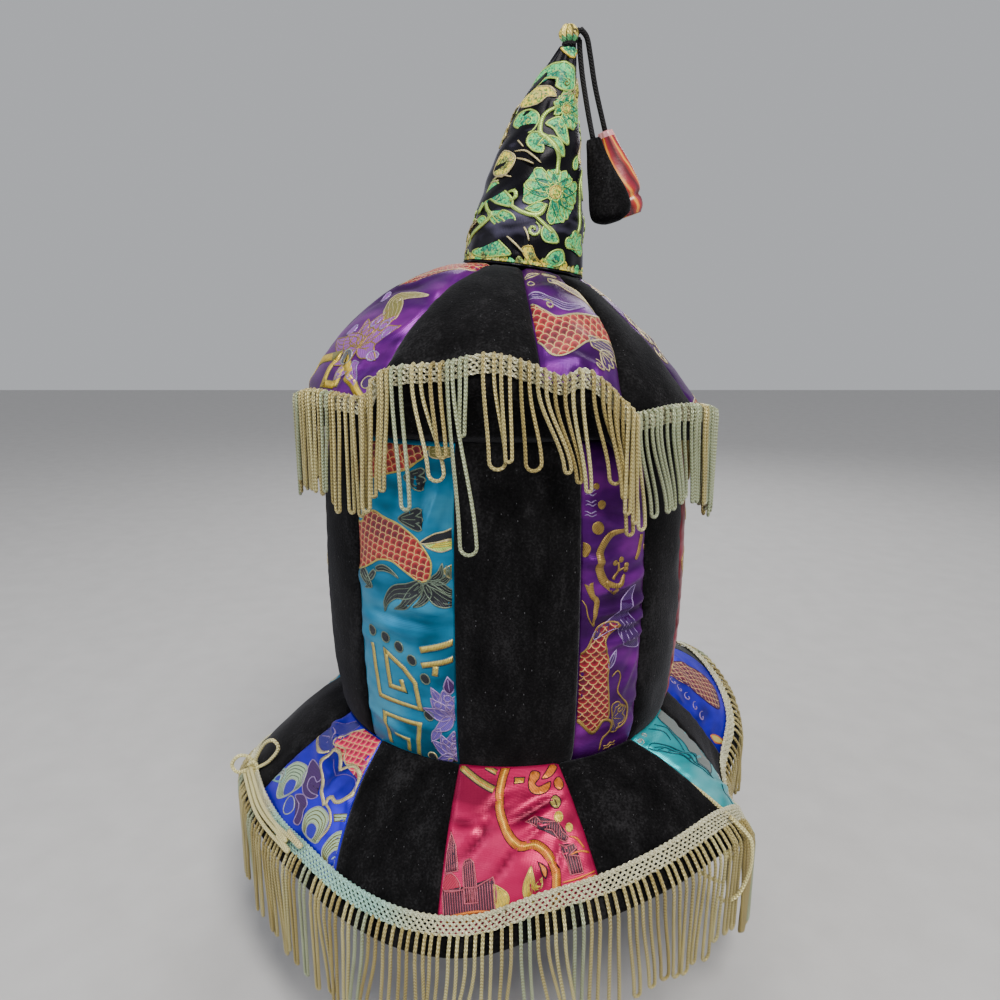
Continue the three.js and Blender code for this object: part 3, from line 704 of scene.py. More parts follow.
def crown_panels():
    """The crown's panels, each with its seams moved in to leave the gap."""
    rows = [*CROWN_PANELS, (CROWN_PANELS[0][0] + 360, "")]
    gap = math.degrees(SEAM_GAP / 2 / CROWN_BASE)
    for i, ((start, cloth), (end, _)) in enumerate(zip(rows, rows[1:])):
        def place(u, v, lift, start=start, end=end):
            tucked = v - SEAM_TUCK / (CROWN_TOP - CROWN_BOTTOM) * np.clip(1 - v * 12, 0, 1)
            return crown_point(mix(start + gap, end - gap, u), tucked, lift)

        width = math.radians(end - start) * (CROWN_BASE + CROWN_BULGE)
        yield Panel(place, lambda v, w=width: w + 0 * v, CROWN_TOP - CROWN_BOTTOM,
                    lambda u, v: CROWN_PUFF * puffed(u) * puffed(v), CROWN_WALL, cloth, 10 + i,
                    CROWN_CREASES.get(i + 1, ()))


def brim_panels():
    rows = [*BRIM_PANELS, (BRIM_PANELS[0][0] + 360, BRIM_PANELS[0][1] + 360, "")]
    for i, ((start, edge, cloth), (end, last, _)) in enumerate(zip(rows, rows[1:])):
        def place(u, v, lift, s=start, e=edge, n=end, m=last):
            gap = math.degrees(SEAM_GAP / 2) / mix(CROWN_BASE, BRIM_EDGE[0][1], v)
            return brim_point(mix(mix(s, e, v) + gap, mix(n, m, v) - gap, u), v, lift)

        def width(v, s=start, e=edge, n=end, m=last):
            return np.radians(mix(n - s, m - e, v)) * mix(CROWN_BASE, BRIM_REACH, v)

        yield Panel(place, width, float(brim_length((edge + last) / 2)),
                    lambda u, v: BRIM_PUFF * puffed(u) * np.sin(np.pi * v), BRIM_WALL, cloth, 40 + i,
                    BRIM_CREASES.get(i + 1, ()))


def canopy_gores():
    """The canopy's gores, two to a scallop."""
    for i, ((left, seam, right), cloths, rim) in enumerate(SCALLOPS):
        for k, (start, end) in enumerate(((left, seam), (seam, right))):
            def place(u, v, lift, s=start, e=end, rim=rim):
                gap = math.degrees(SEAM_GAP / 2) / mix(CROWN_BASE, RING_RADIUS, v)
                return canopy_point(rim, mix(seam_at(s, v) + gap, seam_at(e, v) - gap, u), v, lift)

            def width(v, s=start, e=end):
                around = mix(RING_RADIUS, GORE_REACH, np.cos(np.clip(v, 0, 1) * np.pi / 2))
                return np.radians(seam_at(e, v) - seam_at(s, v)) * around

            middle = place(0.5, np.linspace(0, 1, 40), 0.0)
            length = float(np.linalg.norm(np.diff(middle, axis=0), axis=1).sum())
            yield Panel(place, width, length,
                        lambda u, v: CANOPY_PUFF * puffed(u) * np.sin(np.pi * v), CANOPY_WALL,
                        cloths[k], 70 + 2 * i + k, CANOPY_CREASES.get(2 * i + k + 1, ()))


def swept(section, angles, name, node, closed=False):
    """A closed velvet wall: section gives a ring of points for an array of angles."""
    ring = section(angles)
    walked = np.linalg.norm(np.diff(ring, axis=1, append=ring[:, :1]), axis=-1)
    across = np.concatenate((np.zeros((len(ring), 1)), np.cumsum(walked, 1)), 1)
    run = np.radians(angles)[:, None] * SWEPT_REACH + 0 * across
    uv = np.stack((run, across), -1)
    shape = Cloth()
    shape.grid(ring, np.concatenate((uv, uv[:1] + (0.1, 0))) if closed else uv)
    if not closed:
        shape.lid(ring[0], uv[0, 0])
        shape.lid(ring[-1], uv[-1, 0], turned=True)
    piece = shape.make(name, [finish_of("velvet")])
    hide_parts(node)
    return piece


# The rolled edge's section, from the fringe down and in: a place along it, how far out, how far down
ROLL_OUTSIDE = [(0, -0.1, 0.3), (1, 1.2, 4.8), (2, -0.2, 9.8), (3, -3.6, 12)]
ROLL_INSIDE = [(0, -2.8, 0.3), (1, -1.8, 4.2), (2, -3.4, 7.4), (3, -5, 8.9)]


def rolled_edge(rim, seed):
    def section(angles):
        at, place = np.meshgrid(angles, np.linspace(0, 3, 17), indexing="ij")
        radius, height = curve_at(rim, 1, at), curve_at(rim, 2, at)
        run = np.radians(at) * ROLL_REACH
        swell = 0.5 * ripple(run, place * 4, seed, 11, 30) * np.sin(np.pi * np.clip(place / 3, 0, 1))
        rings = []
        for rows, side, stand in ((ROLL_OUTSIDE, 0, swell), (ROLL_INSIDE, 1, 0 * swell)):
            out, down = curve_at(rows, 1, place), curve_at(rows, 2, place)
            roll = polar(at, radius + out + stand, height - down)
            soffit = polar(at[:, :4], SOFFIT_RADIUS, SOFFIT_HEIGHT + side * ROLL_WALL)
            share = np.array((0.25, 0.5, 0.75, 1.0))[:, None]
            rings.append(np.concatenate((roll, mix(roll[:, -1:], soffit, share)), 1))
        return np.concatenate((rings[0], rings[1][:, ::-1]), 1)

    return section


def facing_section(angles):
    """The velvet edge past the header, with its folded end."""
    at, place = np.meshgrid(angles, np.linspace(0, 1, 9), indexing="ij")
    length = brim_length(at)
    wave = 0.35 * ripple(np.radians(at) * BRIM_REACH, place * 9, 31, 16, 30)
    out = 1 + mix(GAP, FACING_WIDTH, place) / length
    plump = 0.5 * np.sin(np.pi * place) + wave * place
    top = brim_point(at, out, plump)
    under = brim_point(at, out, -FACING_WALL - 0.3 * plump)
    nose = brim_point(at[:, :1], out[:, -1:] + 0.8 / length[:, :1], -FACING_WALL / 2)
    return np.concatenate((top, nose, under[:, ::-1]), 1)


def braid(cloth, place, length, tint, closed):
    """An openwork header: wavy cords side by side that meet and part, leaving rows of holes."""
    count = round(length / HEADER_WAVE)
    at = np.linspace(0, 1, count * 4 + 1)
    at = at[:-1] if closed else at
    paths = []
    for i, (across, swing) in enumerate(HEADER_CORDS):
        phase = 2 * np.pi * (at * count + 0.5 * i)
        paths.append(place(at, across + swing * np.cos(phase), 0.35 * np.sin(phase)))
    tint = np.repeat(tint(at), HEADER_SIDES, 0) if closed else tint
    tubes(cloth, np.stack(paths), HEADER_RADIUS, HEADER_SIDES, tint, closed)


# A header's wavy cords: how far each lies from the header's outer side, and how far it swings
HEADER_CORDS = [(0.6, 0.25), (1.9, 0.5), (3.4, 0.5), (4.9, 0.5), (6.4, 0.5), (7.2, 0.2), (7.8, 0.3)]


def smooth(t):
    t = np.clip(t, 0, 1)
    return t * t * (3 - 2 * t)


def hung_loops(tops, bottoms, wide, outward):
    """Paths of hanging loops. tops holds the points by which each strand leaves its header, for the
    left and the right strand, (loops, 2, points, 3); bottoms are the loops' lowest points."""
    left, right = tops[:, 0, -1], tops[:, 1, -1]
    sideways = unit(np.cross((0.0, 0.0, 1.0), outward))
    half = (wide / 2)[:, None]
    turn = np.linspace(0, np.pi, 9)[:, None, None]
    centre = bottoms + (0, 0, 1) * half
    bend = centre - sideways * half * np.cos(turn) - (0, 0, 1) * half * np.sin(turn)
    share = np.linspace(0, 1, 11)[1:-1, None, None]
    sides = []
    for end, start in ((bend[0], left), (bend[-1], right)):
        path = mix(start, end, smooth(share) * 0.7 + share * 0.3)
        path[..., 2] = mix(start[:, 2], end[:, 2], share[..., 0])
        sides.append(path)
    paths = (tops[:, 0].swapaxes(0, 1), sides[0], bend, sides[1][::-1], tops[:, 1].swapaxes(0, 1)[::-1])
    return np.concatenate(paths).swapaxes(0, 1)


def over_canopy_header(rim, angles, lift):
    """How a strand comes over the canopy header's top edge and starts to hang."""
    route = np.array([(0.6, 4.6), (2.6, 6.4), (4.3, 5.4), (4.7, 2.0), (4.6, -3.0)])
    points = [
        canopy_point(rim, angles, 0.0, out + lift * (down < 6)) + (0, 0, down) for out, down in route
    ]
    return np.stack(points, 1)


def over_brim_facing(angles, lift):
    """How a strand leaves the brim's header, lies over the facing and starts to hang."""
    length = brim_length(angles)
    route = [(-0.8, 1.6), (2.2, 2.3), (5.5, 2.2), (8.4, 2.2)]
    points = [brim_point(angles, 1 + past / length, up + lift) for past, up in route]
    edge = brim_point(angles, 1 + 10.0 / length, 1.2 + lift)
    drop = edge * (1.004, 1.004, 1) - (0, 0, 3.4)
    return np.stack((*points, edge, drop), 1)


# The canopy's loops that the photograph shows: the angles of their two strands, the angle and the
# height of the lowest point, how wide they hang and how far out they lie
SEEN_LOOPS = {
    0: [
        (-31.4, -29.4, -31.4, 133.3, 4.4, 1.8), (-30.4, -28.0, -30.1, 140.2, 2.6, 0.2),
        (-27.2, -26.0, -28.0, 143.3, 2.4, 0.6), (-25.1, -23.0, -22.7, 135.3, 4.4, 0.0),
        (-20.4, -18.4, -15.5, 149.1, 7.4, 0.0), (-15.9, -13.9, -13.8, 159.8, 3.8, 2.2),
        (-12.6, -11.4, -8.4, 116.0, 7.6, 0.6), (-9.9, -8.6, -9.6, 169.3, 2.3, 0.2),
        (-5.0, -2.7, -2.0, 154.9, 7.2, 0.0), (-1.2, 0.6, 0.4, 158.6, 2.9, 1.9),
        (2.9, 4.7, 5.8, 154.2, 7.0, 0.0), (6.4, 8.2, 13.2, 153.1, 3.0, 1.2),
        (10.2, 12.4, 16.0, 148.4, 2.4, 0.2), (13.9, 15.9, 17.8, 144.4, 2.5, 1.6),
        (18.6, 20.6, 23.9, 147.3, 6.6, 0.0), (21.6, 22.9, 25.6, 140.9, 2.6, 1.4),
        (23.6, 24.8, 27.3, 123.4, 3.8, 0.4), (25.4, 26.5, 26.0, 133.9, 2.6, 2.4),
        (26.9, 27.9, 28.2, 129.0, 2.4, 0.8),
    ],
    1: [
        (29.6, 31.0, 33.2, 122.8, 4.2, 1.2), (32.1, 33.8, 37.6, 127.5, 4.2, 0.0),
        (35.1, 36.6, 41.7, 128.9, 2.8, 1.0), (38.3, 40.4, 44.5, 129.3, 2.8, 0.0),
        (41.6, 42.9, 46.4, 132.0, 2.6, 1.6), (44.6, 46.9, 48.9, 133.6, 3.3, 0.2),
        (49.1, 51.0, 52.2, 130.4, 2.4, 1.2), (52.6, 54.4, 55.8, 129.0, 2.4, 0.2),
        (56.0, 58.0, 59.4, 126.6, 2.6, 1.5), (59.4, 61.4, 63.4, 125.2, 2.4, 0.3),
        (63.0, 65.2, 67.6, 124.6, 2.4, 1.0),
    ],
    4: [
        (291.4, 293.6, 290.4, 136.0, 2.6, 1.2), (295.0, 297.0, 295.4, 135.2, 2.6, 0.2),
        (298.2, 300.6, 298.4, 135.1, 2.8, 1.4), (302.0, 304.2, 301.8, 134.6, 2.6, 0.4),
        (305.0, 307.6, 305.8, 135.0, 2.6, 1.6), (308.6, 310.2, 308.2, 134.2, 2.6, 0.2),
        (310.9, 313.1, 310.6, 136.7, 2.6, 1.2), (313.8, 315.0, 313.4, 131.5, 2.6, 0.0),
        (316.0, 318.1, 315.9, 128.1, 3.3, 1.6), (319.6, 321.6, 320.3, 128.9, 3.8, 0.4),
        (322.9, 325.1, 324.1, 128.7, 2.8, 1.8), (326.0, 327.4, 325.6, 132.5, 2.4, 0.2),
    ],
}


def spire_relief(angle, height):
    """The stuffed spire's folds: gathers over its seam, creases that lean across it, a drawn-in tip."""
    sizes = bpy.context.scene.hat_spire
    turn = np.radians(angle)
    foot = np.exp(-(height - SPIRE_FOOT) / 9)
    tip = np.clip((height - SPIRE_DRAWN) / (SPIRE_TOP - SPIRE_DRAWN), 0, 1)
    gathers = np.sin(turn * 17 + 1.3 * np.sin(turn * 3)) * foot * 0.7
    drawn = np.sin(turn * 9 + height * 0.02) * tip * 0.55
    creases = ripple(turn * SPIRE_REACH, height - np.sin(turn) * 8, 5, 60, 19)
    seam = 0.8 * np.exp(-((np.mod(angle - sizes.seam_angle + 180, 360) - 180) / 4) ** 2)
    waist = 0.9 * np.exp(-((height - SPIRE_FOOT - 2.5) / 1.6) ** 2)
    return gathers + drawn + sizes.crease * creases * (1 - foot) * (1 - tip) - seam - waist


def spire_at(angle, height, lift=0.0):
    return spire_point(angle, height, spire_relief(angle, height) + lift)


def catmull(points, count):
    """Points along a smooth curve through a few."""
    points = np.asarray(points, float)
    rows = [(i, *point) for i, point in enumerate(points)]
    at = np.linspace(0, len(points) - 1, count)
    return np.stack([curve_at(rows, k, at) for k in (1, 2, 3)], -1)


# The cords from the spire's tip, in metres as in the part's source, and what hangs from each
CORD_DIAMETER = 0.0029
CORDS = {
    "front": {
        "path": [(0.0387, 0.0034, 0.3615), (0.0394, 0.0046, 0.355), (0.041, 0.004, 0.343),
                 (0.044, 0.0015, 0.326), (0.0466, -0.001, 0.3128)],
        "bottom": (0.0588, -0.0025, 0.2705),
        "radius": 0.0116,
        "slot": "velvet_black",
        "sections": [(0, 0.3), (0.04, 0.37), (0.2, 0.48), (0.45, 0.68), (0.68, 0.9), (0.84, 1.0),
                     (0.93, 0.9), (0.98, 0.62), (1, 0.4)],
    },
    "back": {
        "path": [(0.0388, -0.0013, 0.365), (0.0425, 0.002, 0.362), (0.045, 0.0055, 0.354),
                 (0.0485, 0.0095, 0.34), (0.055, 0.015, 0.3202)],
        "bottom": (0.07, 0.017, 0.276),
        "radius": 0.0108,
        "slot": "silk_flame",
        "sections": [(0, 0.34), (0.05, 0.42), (0.2, 0.56), (0.45, 0.8), (0.66, 0.98), (0.74, 0.97),
                     (0.79, 0.8), (0.84, 0.9), (0.93, 0.88), (1, 0.66)],
    },
}
DROP_DEPTH = 0.68


def drop_at(row, along, turn, lift):
    """A point of a bag drop by share along it and turn round it, in millimetres."""
    top, bottom = Vector(row["path"][-1]) / MM, Vector(row["bottom"]) / MM
    axis = (bottom - top).normalized()
    top = top + axis * GAP
    wide = Vector((0, 1, 0)).cross(axis).normalized()
    deep = axis.cross(wide)
    radius = curve_at(row["sections"], 1, along) * row["radius"] / MM + lift
    middle = np.array(top) + (np.array(bottom) - np.array(top)) * along[..., None]
    across = (radius * np.cos(turn))[..., None] * np.array(wide)
    return middle + across + (radius * DROP_DEPTH * np.sin(turn))[..., None] * np.array(deep)


def make_drop(name, row, material, folds):
    along, turn = np.meshgrid(np.linspace(0, 1, 61), np.linspace(0, 2 * np.pi, 49)[:-1], indexing="ij")
    lift = folds(along, turn)
    ring = drop_at(row, along, turn, lift)
    shape = Cloth()
    reach = (Vector(row["bottom"]) - Vector(row["path"][-1])).length / MM
    uv = np.stack((along * reach, turn * 9), -1)
    shape.grid(ring, np.concatenate((uv, uv[:, :1] + (0, 2 * np.pi * 9)), 1))
    shape.lid(ring[0], uv[0, 0])
    shape.lid(ring[-1], uv[-1, 0], turned=True)
    piece = shape.make("bag_" + name, [material])
    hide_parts("drop_" + name)
    return piece


def velvet_folds(along, turn):
    drawn = np.exp(-along / 0.22)
    return 0.35 * np.sin(9 * turn) * drawn + 0.3 * ripple(along * 40, turn * 9, 3, 26, 20)


def silk_folds(along, turn):
    drawn, tied = np.exp(-along / 0.12), np.exp(-(((along - 0.8) / 0.07) ** 2))
    return (0.3 * drawn + 0.55 * tied) * np.sin(10 * turn + 5 * along) + 0.35 * np.sin(turn * 3 + along * 9)


THREAD, GOLD, SCALES, STIPPLED = range(4)
# How far filled shapes and raised lines stand off the cloth, and a shape's inner lines off the shape
FILL_LIFT, LINE_LIFT, VEIN_LIFT = 0.28, 0.5, 0.14
# The step between the points of a drawn curve
OUTLINE_STEP = 1.9
# The embroidery's colours, linear
TINTS = {
    "gold": (0.62, 0.5, 0.13),
    "old gold": (0.4, 0.26, 0.07),
    "orchid": (0.28, 0.07, 0.4),
    "pale gold": (0.62, 0.55, 0.3),
    "bright gold": (0.88, 0.64, 0.07),
    "orange": (0.85, 0.25, 0.04),
    "red": (0.5, 0.03, 0.035),
    "rose": (0.46, 0.012, 0.055),
    "black": (0.008, 0.01, 0.016),
    "grey": (0.1, 0.1, 0.12),
    "silver": (0.45, 0.5, 0.5),
    "lime": (0.5, 0.74, 0.17),
    "olive": (0.2, 0.18, 0.04),
    "pale green": (0.4, 0.55, 0.35),
    "mint": (0.07, 0.62, 0.2),
    "jade": (0.005, 0.27, 0.14),
    "sage": (0.16, 0.22, 0.17),
    "plum": (0.06, 0.012, 0.03),
    "pink": (0.6, 0.14, 0.2),
    "amber": (0.95, 0.48, 0.06),
    "lilac": (0.15, 0.09, 0.42),
    "violet": (0.05, 0.008, 0.11),
    "pale lilac": (0.4, 0.28, 0.62),
    "pale aqua": (0.3, 0.6, 0.6),
    "blue": (0.016, 0.008, 0.46),
    "teal": (0.01, 0.12, 0.2),
    "deep teal": (0.004, 0.09, 0.13),
    "ruby": (0.34, 0.008, 0.03),
    "mulberry": (0.2, 0.012, 0.07),
    "dove": (0.17, 0.2, 0.19),
    "cerise": (0.85, 0.008, 0.11),
    "indigo": (0.02, 0.014, 0.2),
}


def curve(points, closed, step, round=True):
    """A line through a few points, with one about every step: smooth, or straight between them."""
    points = np.asarray(points, float)
    if closed:
        around = np.concatenate((points[-1:], points, points[:2]))
    else:
        around = np.concatenate((points[:1], points, points[-1:]))
    run = []
    for a, b, c, d in zip(around, around[1:], around[2:], around[3:]):
        count = max(1, math.ceil(float(np.linalg.norm(c - b)) / step))
        t = (np.arange(count) / count)[:, None]
        if round:
            bend = 2 * b + (c - a) * t + (2 * a - 5 * b + 4 * c - d) * t**2 + (3 * b - a - 3 * c + d) * t**3
            run.append(bend / 2)
        else:
            run.append(mix(b, c, t))
    return np.concatenate(run if closed else [*run, points[-1:]])


def sides(points, width, closed=False):
    """The two sides of a line of some width, mitred at its corners."""
    ahead = np.roll(points, -1, 0) - points
    behind = points - np.roll(points, 1, 0)
    if not closed:
        ahead[-1], behind[0] = behind[-1], ahead[0]
    ahead, behind = unit(ahead), unit(behind)
    square = unit(ahead + behind)
    normal = np.stack((-square[:, 1], square[:, 0]), 1)
    reach = 1 / np.clip((square * ahead).sum(1), 0.55, 1)
    offset = normal * (reach * np.broadcast_to(width, len(points)) / 2)[:, None]
    return points + offset, points - offset


class Pen:
    """Draws woven figures flat on a panel, in millimetres: x across from its middle, y along it. A pen
    made from another draws in that one's place, turned or mirrored."""

    def __init__(self, place=(0, 0), turn=0.0, flip=False, base=None):
        self.place, self.turn, self.base = place, math.radians(turn), base
        self.mirror = np.array((-1.0 if flip else 1.0, 1.0))
        self.shapes = base.shapes if base else []

    def to(self, place, turn=0.0, flip=False):
        return Pen(place, turn, flip, self)

    def laid(self, points):
        points = np.asarray(points, float) * self.mirror
        cos, sin = math.cos(self.turn), math.sin(self.turn)
        points = points @ np.array(((cos, sin), (-sin, cos))) + self.place
        return self.base.laid(points) if self.base else points

    def fill(self, outline, tint, kind=THREAD, lift=FILL_LIFT, round=True, grain=0.0):
        """A filled shape; its outline is smooth unless round is off."""
        run = self.laid(curve(outline, True, OUTLINE_STEP, round))
        self.shapes.append(("fill", run, tint, kind, lift, grain))

    def line(self, points, tint, width=0.75, kind=GOLD, lift=LINE_LIFT, closed=False, round=True):
        """A raised line; width is one number or one for each end and the middle."""
        run = self.laid(curve(points, closed, OUTLINE_STEP, round))
        if np.ndim(width):
            width = np.interp(np.linspace(0, 1, len(run)), np.linspace(0, 1, len(width)), width)
        left, right = sides(run, width, closed)
        self.shapes.append(("line", (left, right, closed), tint, kind, lift, 0.0))

    def edged(self, outline, tint, edge, width=0.7, kind=THREAD, lift=FILL_LIFT, round=True, grain=0.0):
        """A filled shape inside a raised line."""
        self.fill(outline, tint, kind, lift, round, grain)
        self.line(outline, edge, width, lift=lift + 0.2, closed=True, round=round)


class Wrapped:
    """The spire's surface as a panel that goes once round from its back."""

    cloth = "satin"
    length = float(SPIRE_TOP - SPIRE_FOOT)
    raised, fineness = 0.35, 0.7

    def width(self, v):
        return 2 * np.pi * curve_at(SPIRE_SECTIONS, 2, SPIRE_FOOT + self.length * v)

    def at(self, u, v, lift=0.0):
        return spire_at((u - 0.5) * 360, SPIRE_FOOT + self.length * v, lift)


# Where a panel's figures end: across or along it, the share of it, and which side is cut off
BORDERS = ((0, 0.015, -1), (0, 0.985, 1), (1, 0.012, -1), (1, 0.988, 1))


def slice_at(body, axis, at, side, **how):
    """Cut everything in a mesh along a line across one axis."""
    geometry = body.verts[:] + body.edges[:] + body.faces[:]
    place, normal = Vector((0, 0, 0)), Vector((0, 0, 0))
    place[axis], normal[axis] = at, side
    bmesh.ops.bisect_plane(body, geom=geometry, plane_co=place, plane_no=normal, **how)


def weave(cloth, panel, pen):
    """Lay a pen's shapes on a panel: cut to its borders and raised a thread's thickness."""
    body = bmesh.new()
    uvs = body.loops.layers.uv.new("cloth")

    def paint(face, number, uv):
        face.material_index = number
        for loop, place in zip(face.loops, uv):
            loop[uvs].uv = place

    for number, (form, points, _, _, lift, grain) in enumerate(pen.shapes):
        if form == "fill":
            turn = math.radians(grain)
            uv = points @ np.array(((math.cos(turn), math.sin(turn)), (-math.sin(turn), math.cos(turn))))
            made = body.faces.new([body.verts.new((*point, lift)) for point in points])
            paint(made, number, uv)
    bmesh.ops.triangulate(body, faces=body.faces[:], ngon_method="EAR_CLIP")
    cells = bpy.context.scene.hat_cloth.figure_step * panel.fineness
    reach = np.max([panel.width(v) for v in (0.0, 0.5, 1.0)]) / 2
    for along, low, high in ((0, -reach, reach), (1, 0, panel.length)):
        for at in np.arange(low, high, cells):
            slice_at(body, along, at, 1, dist=1e-4)
    for number, (form, points, _, _, lift, _) in enumerate(pen.shapes):
        if form == "line":
            left, right, closed = points
            run = np.concatenate(([0], np.cumsum(np.linalg.norm(np.diff(left, axis=0), axis=1))))
            count = len(left)
            corners = [body.verts.new((*p, lift)) for p in (*left, *right)]
            for i in range(count if closed else count - 1):
                k = (i + 1) % count
                made = body.faces.new((corners[i], corners[k], corners[count + k], corners[count + i]))
                ahead = run[i] + 1 if k == 0 else run[k]
                paint(made, number, ((run[i], 0), (ahead, 0), (ahead, 1), (run[i], 1)))
    shares = np.array([vert.co[:] for vert in body.verts])
    shares[:, 1] /= panel.length
    shares[:, 0] = 0.5 + shares[:, 0] / panel.width(shares[:, 1])
    for vert, share in zip(body.verts, shares):
        vert.co = share
    for axis, edge, side in BORDERS:
        slice_at(body, axis, edge, side, dist=1e-5, clear_outer=True)
    bmesh.ops.triangulate(body, faces=body.faces[:])
    body.verts.index_update()
    flat = np.array([vert.co[:] for vert in body.verts])
    faces = np.array([[vert.index for vert in f.verts] for f in body.faces])
    uv = np.array([[loop[uvs].uv[:] for loop in f.loops] for f in body.faces])
    number = np.array([f.material_index for f in body.faces])
    body.free()
    raise_figures(cloth, panel, pen, flat, faces, uv, number)


def raise_figures(cloth, panel, pen, flat, faces, uv, number):
    """Flat faces made into closed solids: a top, an underside in the cloth and walls round the edge."""
    u, v, lift = flat.T
    lift = lift * bpy.context.scene.hat_cloth.figure_relief + panel.raised
    top, under = panel.at(u, v, lift), panel.at(u, v, -0.3)
    count = len(flat)
    directed = faces[:, [0, 1, 1, 2, 2, 0]].reshape(-1, 2)
    owner = np.repeat(np.arange(len(faces)), 3)
    codes, back = directed @ (count, 1), directed @ (1, count)
    rim = ~np.isin(codes, back)
    a, b = directed[rim].T
    walls = np.stack((b, a, a + count, b, a + count, b + count), 1).reshape(-1, 3)
    wall_owner = np.repeat(owner[rim], 2)
    every = np.concatenate((faces, faces[:, ::-1] + count, walls))
    numbers = number[np.concatenate((np.arange(len(faces)), np.arange(len(faces)), wall_owner))]
    corner = uv.reshape(-1, 2)
    starts = np.flatnonzero(rim)
    ends = starts - starts % 3 + (starts + 1) % 3
    wall_uv = np.stack([corner[k] for k in (ends, starts, starts, ends, starts, ends)], 1).reshape(-1, 2)
    every_uv = np.concatenate((corner, uv[:, ::-1].reshape(-1, 2), wall_uv))
    tints = np.array([TINTS[shape[2]] for shape in pen.shapes])[numbers]
    kinds = np.array([shape[3] for shape in pen.shapes])[numbers]
    cloth.add(np.concatenate((top, under)), every, every_uv, kinds, tints)


def fanned(reach, turn):
    """Points by how far out and which way they lie."""
    return np.stack((reach * np.cos(turn), reach * np.sin(turn)), 1)


def ring(radius, count=14, squash=1.0):
    turn = np.linspace(0, 2 * np.pi, count, endpoint=False)
    return np.stack((radius * np.cos(turn), radius * squash * np.sin(turn)), 1)


def dot(pen, radius, tint="black", edge="pale gold", squash=1.0, lift=FILL_LIFT):
    """A ringed dot."""
    pen.edged(ring(radius, 10, squash), tint, edge, 0.6, lift=lift)


def leaf(pen, length, width, tint, edge, bend=0.0, veins=1, kind=THREAD, lift=FILL_LIFT):
    """A pointed leaf from its foot along x, bent sideways, with lines along it."""
    t = np.linspace(0, 1, 7)
    spine = np.stack((length * t, bend * np.sin(np.pi * t)), 1)
    half = width / 2 * np.sin(np.pi * t**0.75)
    rise = np.stack((0 * t, half), 1)
    outline = np.concatenate((spine + rise, (spine - rise)[-2:0:-1]))
    pen.edged(outline, tint, edge, 0.6, kind, lift)
    for k in range(veins):
        share = (k + 1) / (veins + 1) * 2 - 1
        inner = spine + np.stack((0 * t, half * share * 0.9), 1)
        pen.line(inner[1:-1], edge, 0.35, lift=lift + VEIN_LIFT)


def lobed(pen, radius, lobes, tint, edge, spread=200, veins=True, lift=FILL_LIFT):
    """A fan of round lobes from a foot at the pen's place, opening along x."""
    turn = np.radians(np.linspace(-spread / 2, spread / 2, lobes * 4 + 1))
    wave = np.abs(np.sin(np.linspace(0, lobes * np.pi, lobes * 4 + 1)))
    reach = radius * (0.74 + 0.26 * wave)
    outline = np.concatenate(([(0, 0)], fanned(reach, turn)))
    pen.edged(outline, tint, edge, 0.65, lift=lift)
    if veins:
        for way in np.radians((np.arange(lobes) + 0.5) / lobes * spread - spread / 2):
            tip = 0.7 * radius * np.array((math.cos(way), math.sin(way)))
            pen.line([0.2 * tip, tip], edge, 0.4, lift=lift + VEIN_LIFT)


def curl(pen, radius, tint, width=0.9, turns=1.3, lift=LINE_LIFT):
    """A spiral that opens from the pen's place."""
    t = np.linspace(0, 1, 12)
    turn, reach = 2 * np.pi * turns * t, radius * (0.12 + 0.88 * t)
    pen.line(fanned(reach, turn), tint, (width * 0.7, width, width * 0.4), lift=lift)


def flower(pen, radius, petals, tint, edge, heart, lift=FILL_LIFT):
    """A flower with notched petals round a heart."""
    turn = np.linspace(0, 2 * np.pi, petals * 6, endpoint=False)
    notch = 0.16 * np.exp(-((np.mod(turn * petals / (2 * np.pi), 1) - 0.5) / 0.12) ** 2)
    wave = np.abs(np.sin(turn * petals / 2)) ** 0.6 - notch
    pen.edged(fanned(radius * (0.64 + 0.36 * wave), turn), tint, edge, 0.6, lift=lift)
    for k in range(petals):
        way = 2 * np.pi * (k + 0.5) / petals
        along = np.array((math.cos(way), math.sin(way)))
        pen.line([0.36 * radius * along, 0.74 * radius * along], edge, 0.4, lift=lift + VEIN_LIFT)
    dot(pen, radius * 0.27, heart, edge, lift=lift + 0.12)


def lotus(pen, size, tint, edge):
    """A lotus seen from the side: three rows of pointed petals and small rings."""
    for way, reach, wide in ((-62, 1.0, 0.5), (62, 1.0, 0.5), (-118, 0.85, 0.42), (118, 0.85, 0.42),
                             (-32, 0.95, 0.5), (32, 0.95, 0.5), (0, 1.05, 0.55)):
        petal = pen.to((0, 0), 90 + way)
        leaf(petal, size * reach, size * wide, tint, edge, bend=size * 0.05,
             lift=FILL_LIFT + 0.01 * abs(way) / 10)
    for x, y in ((-0.32, 0.55), (0.05, 0.72), (0.36, 0.5), (0.02, 0.38)):
        dot(pen.to((x * size, y * size)), size * 0.12, tint, edge, lift=0.5)


def bar(pen, points, width, tint="gold", shade="teal"):
    """A straight-sided gold bar with a dark edge, cornered at its points."""
    pen.line(points, shade, width + 1.1, THREAD, 0.25, round=False)
    pen.line(points, tint, width, lift=0.42, round=False)


def fret(pen, size, tint, shade):
    """A square key fret in a box of this size, from the pen's place up and right."""
    steps = ((0, 1), (0, 0), (1, 0), (1, 0.72), (0.28, 0.72), (0.28, 0.28), (0.7, 0.28), (0.7, 0.46))
    bar(pen, np.array(steps) * size, size * 0.11, tint, shade)


def carp(pen, outline, tint="red", edge="gold", grain=0.0):
    """A scaled body in an outline of its own."""
    pen.edged(outline, tint, edge, 0.8, SCALES, grain=grain)


